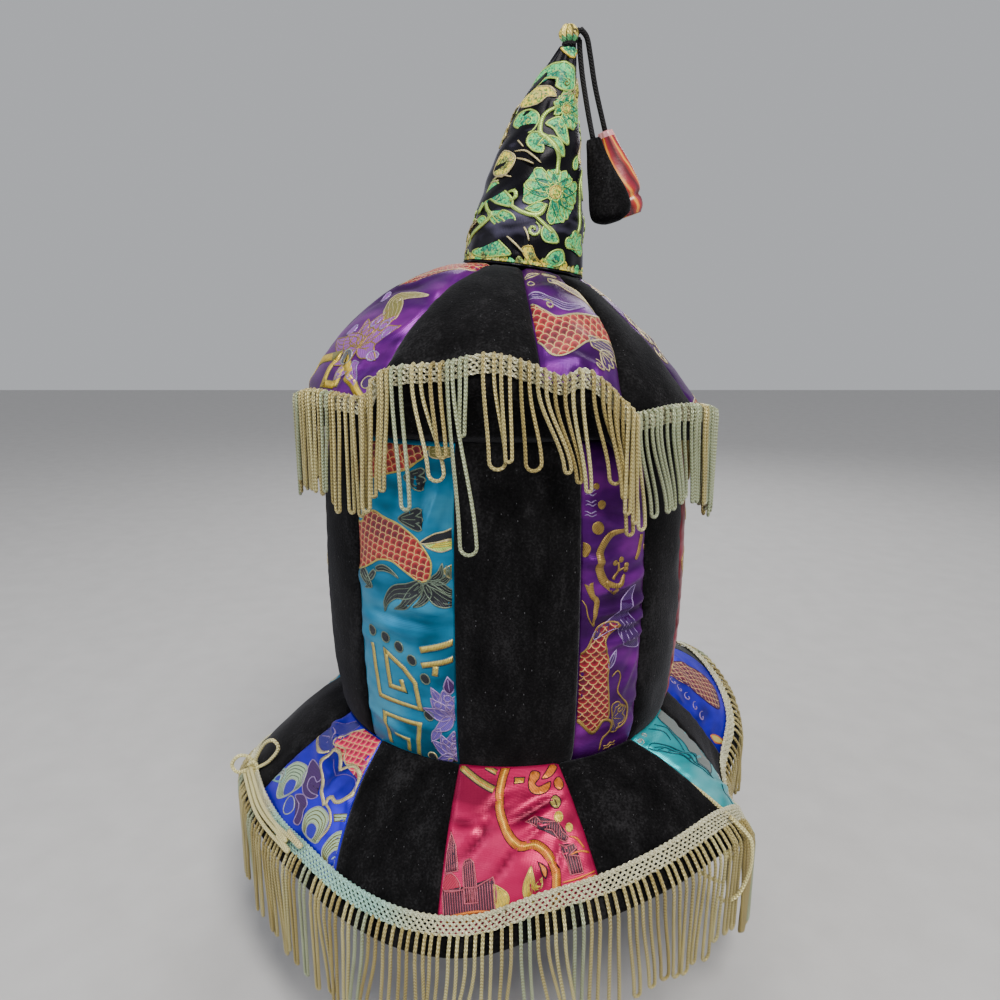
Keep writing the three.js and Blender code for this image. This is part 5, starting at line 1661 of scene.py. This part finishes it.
def spire_green(pen):
    """The spire's flowering vine; x is millimetres round from the front, y is up from the foot."""
    pen.line([(4, 79), (0, 76.5), (-2, 72.5), (-1.5, 66), (2, 64), (7, 60), (10.5, 54), (11, 46)], "lime",
             (1.6, 2.4, 2.4, 1.8))
    pen.line([(-11, 30), (-5.5, 27), (1, 25.5), (5.5, 27), (7, 31.5)], "lime", (1.8, 2.2, 1.8))
    pen.line([(1.5, 25.5), (7, 22), (12, 18)], "lime", (1.4, 2.0, 1.4))
    blossom(pen.to((11, 37.5)), ((152, 16), (104, 11.5), (52, 12), (4, 16), (-36, 15.5), (-76, 15.5),
                                 (184, 16.5)), 3.2)
    blossom(pen.to((10, 79)), ((150, 8), (105, 9), (55, 9), (8, 11), (-40, 12), (-84, 10), (195, 7)), 2.2)
    leaf(pen.to((6, 31), 196), 9.5, 4.6, "mint", "lime", 0.8)
    frond(pen, [(0, 102.5), (4.5, 101.5), (10.5, 97), (12, 90), (6.5, 88), (1, 90), (0.5, 93.5),
                (-6, 94.5), (-9, 91.5), (-15, 90), (-14, 97), (-9, 101)], width=1.1)
    curl(pen.to((6, 92)), 2.2, "olive", 0.8)
    frond(pen, [(0.5, 112), (-3, 111), (0, 107.5), (5, 105.5), (7, 109), (4, 112)], edge="bright gold")
    frond(pen, [(-14.5, 90), (-8.5, 90.5), (-1.5, 89), (2.5, 84.5), (-2, 84.5), (-6, 81), (-16, 81)],
          "bright gold", "gold", "pale gold", 0.5)
    pen.line([(-8, 90), (-2, 89.6), (2, 86.4)], "pale gold", 0.7)
    frond(pen, [(-18.5, 72), (-16.5, 77), (-9.5, 78.5), (-4, 75), (-4, 70), (-7, 66.5), (-12, 68.5)])
    curl(pen.to((-9, 72.6)), 2.4, "lime", 0.9)
    frond(pen, [(0.5, 71), (6.5, 74.5), (10.5, 72), (14.5, 61.5), (9.5, 63.5), (5, 68.5)])
    frond(pen, [(-2.5, 66.5), (-6.5, 65.5), (-7.5, 61.5), (-3.5, 57.5), (1.4, 56.5), (1, 60), (-1.5, 60),
                (2, 64.5), (9, 63), (13.5, 55.5), (10, 56.5), (5, 61)])
    frond(pen, [(-19, 58.5), (-22.5, 57), (-27, 48.5), (-19, 45), (-14, 49), (-13, 55)], "bright gold",
          "olive", "pale gold", 0.7)
    curl(pen.to((-15.6, 54)), 2.2, "pale gold", 0.8)
    for points in ([(-23, 63), (-19, 65), (-14, 64), (-9, 59.5)],
                   [(-13.5, 57.5), (-8, 57.6), (-3.5, 55), (1.5, 51)],
                   [(-12, 54), (-7, 52.8), (-2, 50.5)], [(-25.5, 44), (-20, 46), (-13, 44.5)],
                   [(-27, 42.6), (-21, 43.4)]):
        pen.line(points, "pale gold", (0.6, 1.0, 0.5))
    frond(pen, [(-28, 40), (-24, 43.5), (-17.5, 39), (-11, 33.5), (-10.6, 29.5), (-18.5, 31), (-26.5, 34),
                (-33, 27), (-31, 35)], width=1.1)
    pen.line([(-11.5, 32), (-8.6, 34.6), (-10, 37.4), (-13, 36.6)], "lime", (1.4, 2.0, 1.0))
    pen.line([(-29, 34), (-25, 28), (-22, 25), (-28, 20), (-39, 13), (-41, 4)], "lime",
             (1.4, 2.2, 1.8, 1.6))
    frond(pen, [(-24, 27), (-22, 23), (-17, 19), (-11, 15.4), (-7.4, 20), (-9, 25), (-15, 27.4),
                (-17.4, 24.6), (-13.4, 22), (-16.4, 21)])
    leaf(pen.to((-25, 22.6), 176), 8, 4.4, "mint", "lime")
    frond(pen, [(8, 21), (12, 19.6), (16, 14), (9, 13.4), (6.4, 17)])
    curl(pen.to((2.2, 18.6), -30), 3.8, "lime", 1.5)
    for points in ([(-4.5, 21.5), (-1, 17), (0.5, 12.6)], [(-12, 15), (-6, 10.6), (-1.4, 6.4)]):
        pen.line(points, "pale gold", (0.6, 1.1, 0.6))
    frond(pen, [(-33, 5), (-28, 8), (-24.4, 13), (-20.6, 11.6), (-18.4, 14.6), (-15, 11.6), (-8, 5.6),
                (-13, 4), (-25, 2.6)])
    frond(pen, [(-2.6, 8.6), (2, 10.4), (4.6, 5.6), (9, 2), (4.6, 0.6), (0.6, 3.4)], "bright gold",
          "olive", "gold", 0.6)
    frond(pen, [(10, 4), (13, 9), (19, 10.4), (21, 5), (16, 2.4)])
    leaf(pen.to((30, 54), 76), 15, 5, "bright gold", "pale gold")
    leaf(pen.to((22, 50), 62), 9, 4, "mint", "lime")
    pen.line([(30, 20), (34, 32), (31, 44), (34, 52)], "lime", (1.4, 2.2, 1.6, 1.0))
    lobed(pen.to((29, 12), 80), 9, 4, "mint", "lime", 200)
    for share, y, turn, kind in AROUND:
        half = math.pi * float(curve_at(SPIRE_SECTIONS, 2, SPIRE_FOOT + y))
        spot = pen.to((share * half, y), turn, flip=share > 0)
        if kind == "flower":
            blossom(spot, ((0, 10), (60, 9), (120, 10), (180, 9), (240, 10), (300, 9)), 2.4)
        elif kind == "leaf":
            x = share * half
            pen.line([(x - 6, y - 12), (x - 3, y - 4), (x, y)], "lime", (1.0, 2.2, 1.6))
            leaf(spot, 15, 7.4, "mint", "lime", 2, 2)
            lobed(spot.to((0, 0), 120), 9, 3, "mint", "lime", 110)
            curl(spot.to((2, -7)), 4.2, "lime", 1.4)
        else:
            lobed(spot, 8.4, 5, "bright gold", "pale gold", 240, False)
            curl(spot.to((3, 1)), 3.2, "olive", 0.8, lift=0.6)
            waves(spot.to((5, 4)), 13, "pale gold", 2)
    for k in range(FOOT_STITCHES):
        x, high = -98 + FOOT_STEP * k, 4.6 + math.sin(k * 2.3)
        stitch = [(x, 1.4), (x + 1.4, high), (x + 3.4, high - 0.8), (x + 4.6, 2.2), (x + 2.2, 0.8)]
        pen.fill(stitch, FOOT_TINTS[k % 5], GOLD, 0.3)
    pen.shapes[:] = [(*row[:3], STIPPLED if row[0] == "fill" else row[3], *row[4:]) for row in pen.shapes]


# The crown's, brim's and canopy's figures by panel number; panels that aren't listed are velvet or are
# strewn in their cloth's own colours
CROWN_FIGURES = {2: crown_turquoise, 4: crown_purple}
BRIM_FIGURES = {1: brim_royal, 3: brim_crimson, 5: brim_aqua, 7: brim_far_royal}
CANOPY_FIGURES = {2: gore_right_purple, 10: gore_left_purple}
# A cloth's own colours: pale and deep thread, edges and scales
FIGURE_COLOURS = {
    "turquoise": ("lilac", "black", "pale gold", "red"),
    "purple": ("pale lilac", "violet", "pale gold", "rose"),
    "crimson": ("orange", "grey", "gold", "red"),
    "royal": ("pale aqua", "violet", "silver", "rose"),
    "aqua": ("pale green", "teal", "silver", "rose"),
    "wine": ("orange", "olive", "gold", "rose"),
}


def figured(name, panels, drawings, seed):
    """One object of all the woven figures on some panels."""
    shape = Cloth()
    for number, panel in enumerate(panels, 1):
        if panel.cloth == "velvet":
            continue
        pen = Pen()
        if number in drawings:
            drawings[number](pen)
        else:
            strewn(panel, pen, seed + number, *FIGURE_COLOURS[panel.cloth])
        weave(shape, panel, pen)
    return shape.make(name, [thread(), gold_thread(), fish_scales(), stippled()])


def millimetres(name, description, default, low):
    """A length's property."""
    return bpy.props.FloatProperty(name=name, description=description + " (mm)", default=default, min=low)


class HatCloth(bpy.types.PropertyGroup):
    """How the sewn panels lie, in millimetres."""

    seam_depth: millimetres("Seam depth", "How deep a seam pulls the cloth in", 1.1, 0)
    seam_reach: millimetres("Seam reach", "How wide the pulled-in strip is", 1.7, 0.1)
    gather: millimetres("Gather", "Length of a gather along a seam", 11.0, 1)
    gather_depth: millimetres("Gather depth", "How far gathers stand out", 0.55, 0)
    satin_fold: millimetres("Satin folds", "Height of the brocade's folds", 0.75, 0)
    velvet_fold: millimetres("Velvet folds", "Height of the velvet's folds", 0.6, 0)
    satin_step: millimetres("Brocade mesh", "Mesh step on brocade", 1.8, 0.5)
    velvet_step: millimetres("Velvet mesh", "Mesh step on velvet", 2.3, 0.5)
    figure_step: millimetres("Figure mesh", "Mesh step on woven figures", 2.8, 0.5)
    figure_relief: bpy.props.FloatProperty(
        name="Figure relief", description="Share of a raised thread's full height", default=0.6, min=0.1
    )


class HatSpire(bpy.types.PropertyGroup):
    """The stuffed spire."""

    crease: millimetres("Creases", "Height of the creases across the spire", 0.7, 0)
    seam_angle: bpy.props.FloatProperty(
        name="Seam angle", description="Where the spire's seam runs (degrees from the front)", default=176.0
    )
    fill: bpy.props.FloatProperty(
        name="Fill", description="How full the spire is stuffed", default=0.75, min=0, max=1,
        subtype="FACTOR",
    )


def colour_property(name, colour):
    return bpy.props.FloatVectorProperty(
        name=name, description="Base colour, linear", default=colour, size=3, min=0, max=1, subtype="COLOR"
    )


class HatColours(bpy.types.PropertyGroup):
    """The cloths' colours."""

    velvet: colour_property("Black velvet", (0.0058, 0.0056, 0.006))
    turquoise: colour_property("Turquoise brocade", (0.008, 0.2, 0.37))
    purple: colour_property("Purple brocade", (0.075, 0.0008, 0.14))
    crimson: colour_property("Crimson brocade", (0.56, 0.009, 0.095))
    royal: colour_property("Royal blue brocade", (0.02, 0.004, 0.58))
    aqua: colour_property("Aqua brocade", (0.012, 0.4, 0.45))
    wine: colour_property("Wine brocade", (0.22, 0.008, 0.025))
    satin: colour_property("Black satin", (0.004, 0.003, 0.007))
    fringe: colour_property("Fringe", (0.63, 0.54, 0.22))


# Each brocade's sheen colour: its shader's sheen tint, and the colour that the painted sheen in its
# brighter streaks leans to
SHINES = {
    "turquoise": (0.2, 0.65, 0.85),
    "purple": (0.6, 0.06, 0.7),
    "crimson": (1.0, 0.09, 0.25),
    "royal": (0.2, 0.14, 0.95),
    "aqua": (0.5, 0.95, 1.0),
    "wine": (0.8, 0.2, 0.3),
    "satin": (0.5, 0.45, 0.75),
}


@cache
def finish_of(cloth):
    """The material of a cloth, made once."""
    colour = tuple(getattr(bpy.context.scene.hat_colours, cloth))
    if cloth == "velvet":
        return velvet(colour)
    return satin(cloth + "_brocade", colour, SHINES[cloth])


# Where the cords leave the spire's tie
SPIRE_TIE = (34.5, 0.4, 358.6)


class HAT_OT_cords(bpy.types.Operator):
    """Lay the two cords from the spire's tip and hang the bag drops on them"""

    bl_idname = "hat.cords"
    bl_label = "Cords and drops"

    def execute(self, context):
        braided = Finish("braided_cord", Specular_IOR_Level=0.3, Roughness=0.85)
        along, around = braided.cloth()
        leaning = ((around * 3.0).part() - 0.5).size() * 2.0
        plait = (((along / 1.7) + leaning).part() - 0.5).size() * 2.0
        # Painted shade: the black is darker still in the plait's grooves, where the bump is lowest
        black = braided.ramp(plait, (0.1, (0.003, 0.003, 0.004)), (0.9, (0.022, 0.021, 0.023)))
        cord_black = braided.feed(Base_Color=black, Normal=braided.bump(plait, 0.8, 0.0006))
        materials = {"front": finish_of("velvet"), "back": silk()}
        folds = {"front": velvet_folds, "back": silk_folds}
        turn = np.linspace(0, 4 * np.pi, 40)
        height = SPIRE_TIE[2] - 1.2 + 0.1 * turn
        wrap = np.stack((TUFT_X + 3.1 * np.cos(turn), 3.1 * np.sin(turn), height), -1)
        knot = Cloth()
        tubes(knot, wrap[None], 0.7, 8)
        for name, row in CORDS.items():
            path = catmull(np.array(row["path"]) / MM, 30)
            tie = np.array(SPIRE_TIE)
            lead = np.array((tie, mix(tie, path[0], 0.55) + (0, 0, 0.9),
                             path[0] + 0.2 * (path[0] - path[1])))
            tubes(knot, catmull(lead, 10)[None], CORD_DIAMETER / MM / 2.2, 12)
            shape = Cloth()
            tubes(shape, path[None], CORD_DIAMETER / MM / 2, 12)
            cord = shape.make("hanging_cord_" + name, [cord_black])
            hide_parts("cord_" + name)
            bag = make_drop(name, row, materials[name], folds[name])
            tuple(row["path"][0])
        knot.make("cord_tie", [cord_black])
        return {"FINISHED"}


class HAT_OT_crown(bpy.types.Operator):
    """Sew the crown's twelve panels"""

    bl_idname = "hat.crown"
    bl_label = "Crown panels"

    def execute(self, context):
        sew(crown_panels(), "crown_panel_{:02d}", context)
        return {"FINISHED"}


class HAT_OT_brim(bpy.types.Operator):
    """Sew the brim's twelve panels and its velvet facing"""

    bl_idname = "hat.brim"
    bl_label = "Brim panels"

    def execute(self, context):
        sew(brim_panels(), "brim_panel_{:02d}", context)
        angles = np.linspace(0, 360, 481)[:-1]
        facing = swept(facing_section, angles, "facing", "brim_facing", closed=True)
        return {"FINISHED"}


class HAT_OT_canopy(bpy.types.Operator):
    """Sew the canopy's ten gores and its rolled edges"""

    bl_idname = "hat.canopy"
    bl_label = "Canopy gores"

    def execute(self, context):
        names = [f"canopy_gore_{i + 1}_{side}" for i in range(len(SCALLOPS))
                 for side in ("left", "right")]
        for name, panel in zip(names, canopy_gores()):
            sew([panel], name, context)
        for i, (seams, _, rim) in enumerate(SCALLOPS):
            gap = math.degrees(GAP / 2 / CROWN_BASE)
            angles = np.linspace(seams[0] + gap, seams[-1] - gap, round((seams[-1] - seams[0]) * 1.1))
            edge = swept(rolled_edge(rim, 90 + i), angles, f"rolled_edge_{i + 1}", f"canopy_rim_{i + 1}")
        return {"FINISHED"}


def sew(panels, pattern, context):
    """Make panels in their CAD nodes' places, each a padded piece."""
    sizes = context.scene.hat_cloth
    for i, panel in enumerate(panels):
        node = pattern.format(i + 1)
        step = sizes.velvet_step if panel.cloth == "velvet" else sizes.satin_step
        panel.make("sewn_" + node, node, finish_of(panel.cloth), step)


class HAT_OT_spire(bpy.types.Operator):
    """Stuff the satin spire and gather the gold tuft above it"""

    bl_idname = "hat.spire"
    bl_label = "Spire"

    def execute(self, context):
        hem, above = np.linspace(SPIRE_FOOT, SPIRE_HEM, 12)[:-1], np.linspace(SPIRE_HEM, SPIRE_TOP, 84)
        heights, angles = np.concatenate((hem, above)), np.linspace(0, 360, 121)[:-1]
        height, angle = np.meshgrid(heights, angles, indexing="ij")
        ring = spire_at(angle, height)
        uv = np.stack((height, angle * SPIRE_TURN), -1)
        shape = Cloth()
        shape.grid(ring, np.concatenate((uv, uv[:, :1] + (0, 360 * SPIRE_TURN)), 1))
        shape.lid(ring[0], uv[0, 0], turned=True)
        shape.lid(ring[-1], uv[-1, 0])
        spire = shape.make("stuffed_spire", [finish_of("satin")])
        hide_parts("spire")
        tuft()
        return {"FINISHED"}


# The gathered tuft: a place up it, its height above its foot and its width
TUFT_ROWS = [
    (0, 0, 0.62), (1, 1.6, 0.62), (2, 3.8, 0.98), (3, 6.4, 1.08), (4, 8.6, 0.84), (5, 9.7, 0.5),
    (6, 10, 0.14),
]


def tuft():
    row, turn = np.meshgrid(np.linspace(0, 6, 31), np.linspace(0, 2 * np.pi, 85)[:-1], indexing="ij")
    up, width = curve_at(TUFT_ROWS, 1, row), curve_at(TUFT_ROWS, 2, row)
    ruffle = np.sin(7 * turn + 0.5 * np.sin(2 * turn)) + 0.4 * np.sin(13 * turn + row * 0.4)
    radius = 4.2 * width * (1 + 0.17 * ruffle * np.clip(row / 3, 0.15, 1))
    crest = 0.8 * np.sin(7 * turn + 1.2) * np.clip(row / 4, 0, 1)
    height = TUFT_FOOT + up + crest - 0.3
    points = np.stack((TUFT_X + radius * np.cos(turn), radius * np.sin(turn), height), -1)
    uv = np.stack((row * 2, turn * 4), -1)
    shape = Cloth()
    shape.grid(points, np.concatenate((uv, uv[:, :1] + (0, 8 * np.pi)), 1))
    shape.lid(points[0], uv[0, 0], turned=True)
    shape.lid(points[-1], uv[-1, 0])
    gold = Finish("gold_brocade", Metallic=0.35, Roughness=0.45)
    along, across = gold.cloth()
    patches = gold.ramp(gold.noise(520.0, 2.0), (0.36, (0.04, 0.03, 0.012)), (0.46, (0.62, 0.5, 0.08)),
                        (0.6, (0.85, 0.7, 0.2)))
    # Painted shade: dark bands down the tuft where its seven gathers fold inwards
    creases = (across * 1.75).sine() < -0.55
    patches = gold.blend((along < 4.4) * 0.85, patches, (0.05, 0.5, 0.2))
    patches = gold.blend(creases * 0.8, patches, (0.02, 0.02, 0.01))
    stitch = ((along + across) * 5.0).sine()
    material = gold.feed(Base_Color=patches, Normal=gold.bump(stitch, 0.4, 0.0004))
    piece = shape.make("gathered_tuft", [material])
    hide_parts("spire_tuft")


# A header's paler, cooler thread as multiples of the fringe's colour, the brim header's mint by its front
# left corner, and the loose cord's colour
HEADER_PALE = (1.6, 1.85, 3.3)
HEADER_MINT = (0.55, 1.0, 0.92)
BOW_TINT = (1.0, 0.93, 0.46)
# How much of each scallop's fringe is silver-green
GREEN_SHARES = (0.05, 0.75, 0.05, 0.05, 0.05)


def strand_tints(count, seed, green):
    """The fringe's tints: champagne, some browner and some silver-green."""
    chance = np.random.default_rng(seed)
    base = np.array(bpy.context.scene.hat_colours.fringe)
    kinds = np.array(((1, 1, 1), (0.8, 0.75, 0.6), (1.2, 1.28, 1.45), (0.76, 1.04, 1.62)))
    share = np.array((0.5 - 0.4 * green, 0.24 * (1 - green), 0.16, 0.1 + 0.64 * green))
    return np.clip(base * kinds[chance.choice(4, count, p=share / share.sum())], 0, 1)


def header_tint():
    """A header's tint."""
    return tuple(np.clip(np.array(bpy.context.scene.hat_colours.fringe) * HEADER_PALE, 0, 1))


def brim_header_tint(at):
    """The brim header's tint by its share of the way round: mint near the front left corner."""
    mint = smooth((at * 360 - 294) / 8) * smooth((346 - at * 360) / 14)
    return mix(np.array(header_tint()), np.array(HEADER_MINT), mint[:, None])


def hang(name, node, paths, tints, header):
    """One object of the header and its loops, in the CAD node's place."""
    shape = Cloth()
    for path, tint in zip(paths, tints):
        tubes(shape, path[None], LOOP_RADIUS, 6, tuple(tint))
    header(shape)
    piece = shape.make(name, [chainette()])
    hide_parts(node)
    return piece


class HAT_OT_canopy_fringe(bpy.types.Operator):
    """Hang the looped cord fringe from the canopy's five scallops"""

    bl_idname = "hat.canopy_fringe"
    bl_label = "Canopy fringe"

    def execute(self, context):
        for i, (seams, _, rim) in enumerate(SCALLOPS):
            rows = np.array(canopy_loops(i, seams, rim))
            tops = np.stack([over_canopy_header(rim, rows[:, k], rows[:, 5]) for k in (0, 1)], 1)
            radius = curve_at(rim, 1, rows[:, 2]) + 4.4 + rows[:, 5]
            bottoms = polar(rows[:, 2], radius, rows[:, 3])
            paths = hung_loops(tops, bottoms, rows[:, 4], polar(rows[:, 2], 1.0, 0.0))

            def header(shape, rim=rim, seams=seams):
                def place(at, down, lift):
                    angle = mix(seams[0] + 0.3, seams[-1] - 0.3, at)
                    point = canopy_point(rim, angle, 0.0, HEADER_LIFT + lift)
                    return point + np.stack((0 * at, 0 * at, down - 2), -1)

                length = math.radians(seams[-1] - seams[0]) * HEADER_REACH
                braid(shape, place, length, header_tint(), closed=False)

            tints = strand_tints(len(paths), 60 + i, GREEN_SHARES[i])
            hang(f"looped_fringe_{i + 1}", f"canopy_fringe_{i + 1}", paths, tints, header)
        return {"FINISHED"}


def canopy_loops(i, seams, rim):
    """The loops of a scallop: those that the photograph shows, then others like them."""
    chance = np.random.default_rng(200 + i)
    rows = list(SEEN_LOOPS.get(i, []))
    seen = (min(r[0] for r in rows), max(r[1] for r in rows)) if rows else (1e9, -1e9)
    angle = seams[0] + 0.9
    while angle < seams[-1] - 3:
        reach = chance.uniform(1.0, 2.2)
        if not seen[0] - 2.4 < angle < seen[1] + 1:
            drift = chance.normal(0, 0.7)
            height = float(curve_at(rim, 2, angle)) - chance.normal(48, 3.5)
            wide, out = chance.uniform(2.4, 4.6), chance.uniform(0, 1.9)
            rows.append((angle, angle + reach, angle + reach / 2 + drift, height, wide, out))
        angle += reach + chance.uniform(0.9, 1.6)
    return rows


# Loose cord at the brim's corners: an angle on the edge, then millimetres right, up and forwards from it
LOOSE_CORDS = [
    (-80, [(5, -3, 2), (0, 5, 4), (-6, 6, 5), (-10, 1, 5), (-7, -4, 4), (0, -2, 3), (4, 2, 4)]),
    (-80, [(1, -4, 3), (6, 7, 8), (12, 16, 13), (18, 19, 16), (21, 14, 16), (15, 6, 13), (8, 1, 8),
           (2, -2, 4)]),
    (-80, [(3, 2, 5), (2, -8, 5), (1, -18, 4), (2, -27, 2)]),
    (-80, [(0, 1, 6), (4, 3, 7), (6, -1, 7), (3, -4, 6), (0, -2, 5)]),
    (50.5, [(0, 0, 2), (8.5, -8.5, 3), (11, -14, 3), (11, -24.5, 2), (8.5, -34, 1), (4, -41.5, 1),
            (-2, -44.5, 0), (-5, -43, 0)]),
    (50.5, [(-4, -9, 3), (0, -12, 5), (2, -17.5, 5), (0.4, -20.8, 4), (-2, -19, 4), (-1, -13, 4),
            (-3, -8, 3)]),
    (50.5, [(-9, -8, 2), (-14, -19, 3), (-17, -26, 2), (-12, -31, 1), (-4, -35, 0)]),
]
# The bow's tails along the edge: their start and end angle and how far in from the edge they lie
BOW_TAILS = [(-80, -50, -0.5), (-79, -52, 2.6), (-79, -47, 5.4)]


def loose_cords(shape):
    """The bow at the brim's left corner, its tails and the loose loop at the right corner."""
    view = np.array(((1, 0, 0), (0, 0.22, 0.97), (0, -0.97, 0.22)))
    for angle, steps in LOOSE_CORDS:
        knot = brim_point(np.array(float(angle)), np.array(0.93), 4.0)
        tubes(shape, catmull(knot + np.array(steps, float) @ view, 48)[None], LOOSE_RADIUS, 6, BOW_TINT)
    share = np.linspace(0.58, 0.96, 9)
    seam = brim_point(mix(43.4, 52.4, share), share, np.linspace(-1.5, 1.8, 9))
    tubes(shape, catmull(seam, 60)[None], LOOSE_RADIUS, 6, BOW_TINT)
    for start, end, back in BOW_TAILS:
        angle = np.concatenate((np.linspace(start, end, 40), np.linspace(end + 0.8, end - 5, 10)))
        back = back + np.concatenate((0.5 * np.sin(np.linspace(0, 9, 40)), np.linspace(1.2, 2.6, 10)))
        path = brim_point(angle, 1 - back / brim_length(angle), 4.6)
        tubes(shape, catmull(path, 90)[None], LOOSE_RADIUS, 6, BOW_TINT)


class HAT_OT_brim_fringe(bpy.types.Operator):
    """Hang the looped cord fringe from the brim's edge"""

    bl_idname = "hat.brim_fringe"
    bl_label = "Brim fringe"

    def execute(self, context):
        chance = np.random.default_rng(7)
        count = BRIM_LOOPS
        spaced = np.linspace(0, 360, count, endpoint=False)
        middle = spaced + chance.normal(0, 0.25, count)
        half = 0.78 + chance.normal(0, 0.05, count)
        lift = chance.uniform(0, 0.5, count)
        tops = np.stack([over_brim_facing(middle + side * half, lift) for side in (-1, 1)], 1)
        sway = 1.5 * np.sin(np.radians(spaced * 5)) + 0.8 * np.sin(np.radians(spaced * 17))
        drift = sway + chance.normal(0, 0.8, count)
        mouth = tops[:, :, -1].mean(1)
        out = np.hypot(mouth[:, 0], mouth[:, 1]) + chance.normal(0.4, 0.9, count)
        bottoms = polar(middle + drift, out, 0.0)
        bottoms[:, 2] = mouth[:, 2] - chance.normal(47, 2.6, count)
        wide = np.clip(chance.normal(3.6, 0.9, count), 2.4, 6)
        paths = hung_loops(tops, bottoms, wide, polar(middle, 1.0, 0.0))

        def header(shape):
            def place(at, back, lift):
                angle = at * 360
                return brim_point(angle, 1 - back / brim_length(angle), HEADER_LIFT + lift)

            braid(shape, place, 2 * math.pi * BRIM_REACH, brim_header_tint, closed=True)
            loose_cords(shape)

        hang("brim_looped_fringe", "brim_fringe", paths, strand_tints(count, 8, 0.1), header)
        return {"FINISHED"}


class HAT_OT_figures(bpy.types.Operator):
    """Weave the brocades' figures on the crown, the brim, the canopy and the spire"""

    bl_idname = "hat.figures"
    bl_label = "Woven figures"

    def execute(self, context):
        figured("crown_figures", crown_panels(), CROWN_FIGURES, 300)
        figured("brim_figures", brim_panels(), BRIM_FIGURES, 400)
        figured("canopy_figures", canopy_gores(), CANOPY_FIGURES, 500)
        figured("spire_figures", [Wrapped()], {1: spire_green}, 0)
        return {"FINISHED"}


# The studio's lights: name, place, size in metres, power in watts and colour
STUDIO_LIGHTS = [
    ("key", (0.3, -0.8, 1.2), 0.5, 22, (1.0, 0.97, 0.92)),
    ("fill", (-1.2, -0.6, 0.6), 1.2, 8, (0.9, 0.94, 1.0)),
    ("back", (0.3, 1.2, 1.0), 1.0, 10, (1.0, 1.0, 1.0)),
]
# The world's colour and strength, and where the lights point
SKY, SKY_STRENGTH = (0.86, 0.88, 0.92, 1), 0.55
LIT_PLACE = (0, 0, 0.1)
SENSOR_WIDTH = 36
FLOOR_SIZE = 8


class HatView(bpy.types.PropertyGroup):
    """The photograph's camera and the studio."""

    focal: millimetres("Focal length", "Camera's focal length", 27.18, 1)
    tilt: bpy.props.FloatProperty(
        name="Tilt", description="How far the camera looks down", default=math.radians(13), subtype="ANGLE"
    )
    place: bpy.props.FloatVectorProperty(
        name="Place", description="Camera's place", default=(-0.0029, -0.4363, 0.2156), size=3,
        subtype="TRANSLATION", unit="LENGTH"
    )
    floor: bpy.props.FloatProperty(
        name="Floor", description="Height of the floor", default=-0.15, subtype="DISTANCE", unit="LENGTH"
    )


class HAT_OT_stage(bpy.types.Operator):
    """Set up the camera, the pale floor and the soft lights"""

    bl_idname = "hat.stage"
    bl_label = "Stage"

    def execute(self, context):
        view = context.scene.hat_view
        camera_data = bpy.data.cameras.new("camera")
        camera_data.sensor_width, camera_data.lens = SENSOR_WIDTH, view.focal
        camera_data.clip_start = 0.01
        camera = bpy.data.objects.new("camera", camera_data)
        camera.location = view.place
        camera.rotation_euler = (math.pi / 2 - view.tilt, 0, 0)
        context.scene.collection.objects.link(camera)
        context.scene.camera = camera
        world = bpy.data.worlds.new("studio")
        world.use_nodes = True
        background = world.node_tree.nodes["Background"]
        background.inputs["Color"].default_value = SKY
        background.inputs["Strength"].default_value = SKY_STRENGTH
        context.scene.world = world
        for name, place, size, power, colour in STUDIO_LIGHTS:
            light_data = bpy.data.lights.new(name, "AREA")
            light_data.shape, light_data.size = "DISK", size
            light_data.energy, light_data.color = power, colour
            light = bpy.data.objects.new(name, light_data)
            light.location = place
            light.rotation_euler = (Vector(LIT_PLACE) - Vector(place)).to_track_quat("-Z", "Y").to_euler()
            context.scene.collection.objects.link(light)
        pale = Finish("pale_floor", Roughness=0.8)
        speckle = pale.ramp(pale.noise(30.0, 3.0), (0.3, (0.5, 0.49, 0.485)), (0.7, (0.54, 0.53, 0.525)))
        pale.feed(Base_Color=speckle)
        bpy.ops.object.select_all(action="DESELECT")
        bpy.ops.mesh.primitive_plane_add(size=FLOOR_SIZE, location=(0, 0, view.floor))
        floor = context.active_object
        floor.name = "floor"
        floor.data.materials.append(pale.material)
        return {"FINISHED"}


OPERATORS = (
    HAT_OT_stage,
    HAT_OT_cords,
    HAT_OT_crown,
    HAT_OT_brim,
    HAT_OT_canopy,
    HAT_OT_spire,
    HAT_OT_canopy_fringe,
    HAT_OT_brim_fringe,
    HAT_OT_figures,
)


class HAT_PT_build(bpy.types.Panel):
    """Steps and sizes of the hat, in the 3D view's sidebar"""

    bl_label = "Jester Hat"
    bl_space_type = "VIEW_3D"
    bl_region_type = "UI"
    bl_category = "Hat"

    def draw(self, context):
        for operator in OPERATORS:
            self.layout.operator(operator.bl_idname)
        for group in GROUPS:
            settings = getattr(context.scene, group)
            for name in settings.__annotations__:
                self.layout.prop(settings, name)


GROUPS = {"hat_cloth": HatCloth, "hat_spire": HatSpire, "hat_colours": HatColours, "hat_view": HatView}
CLASSES = (*GROUPS.values(), *OPERATORS, HAT_PT_build)


def register():
    for cls in CLASSES:
        bpy.utils.register_class(cls)
    for name, group in GROUPS.items():
        setattr(bpy.types.Scene, name, bpy.props.PointerProperty(type=group))


def unregister():
    for name in GROUPS:
        delattr(bpy.types.Scene, name)
    for cls in reversed(CLASSES):
        bpy.utils.unregister_class(cls)


def main():
    register()
    bpy.ops.object.select_all(action="DESELECT")
    for operator in OPERATORS:
        step = operator.bl_idname.split(".")[1]
        getattr(bpy.ops.hat, step)()


if __name__ == "__main__":
    main()
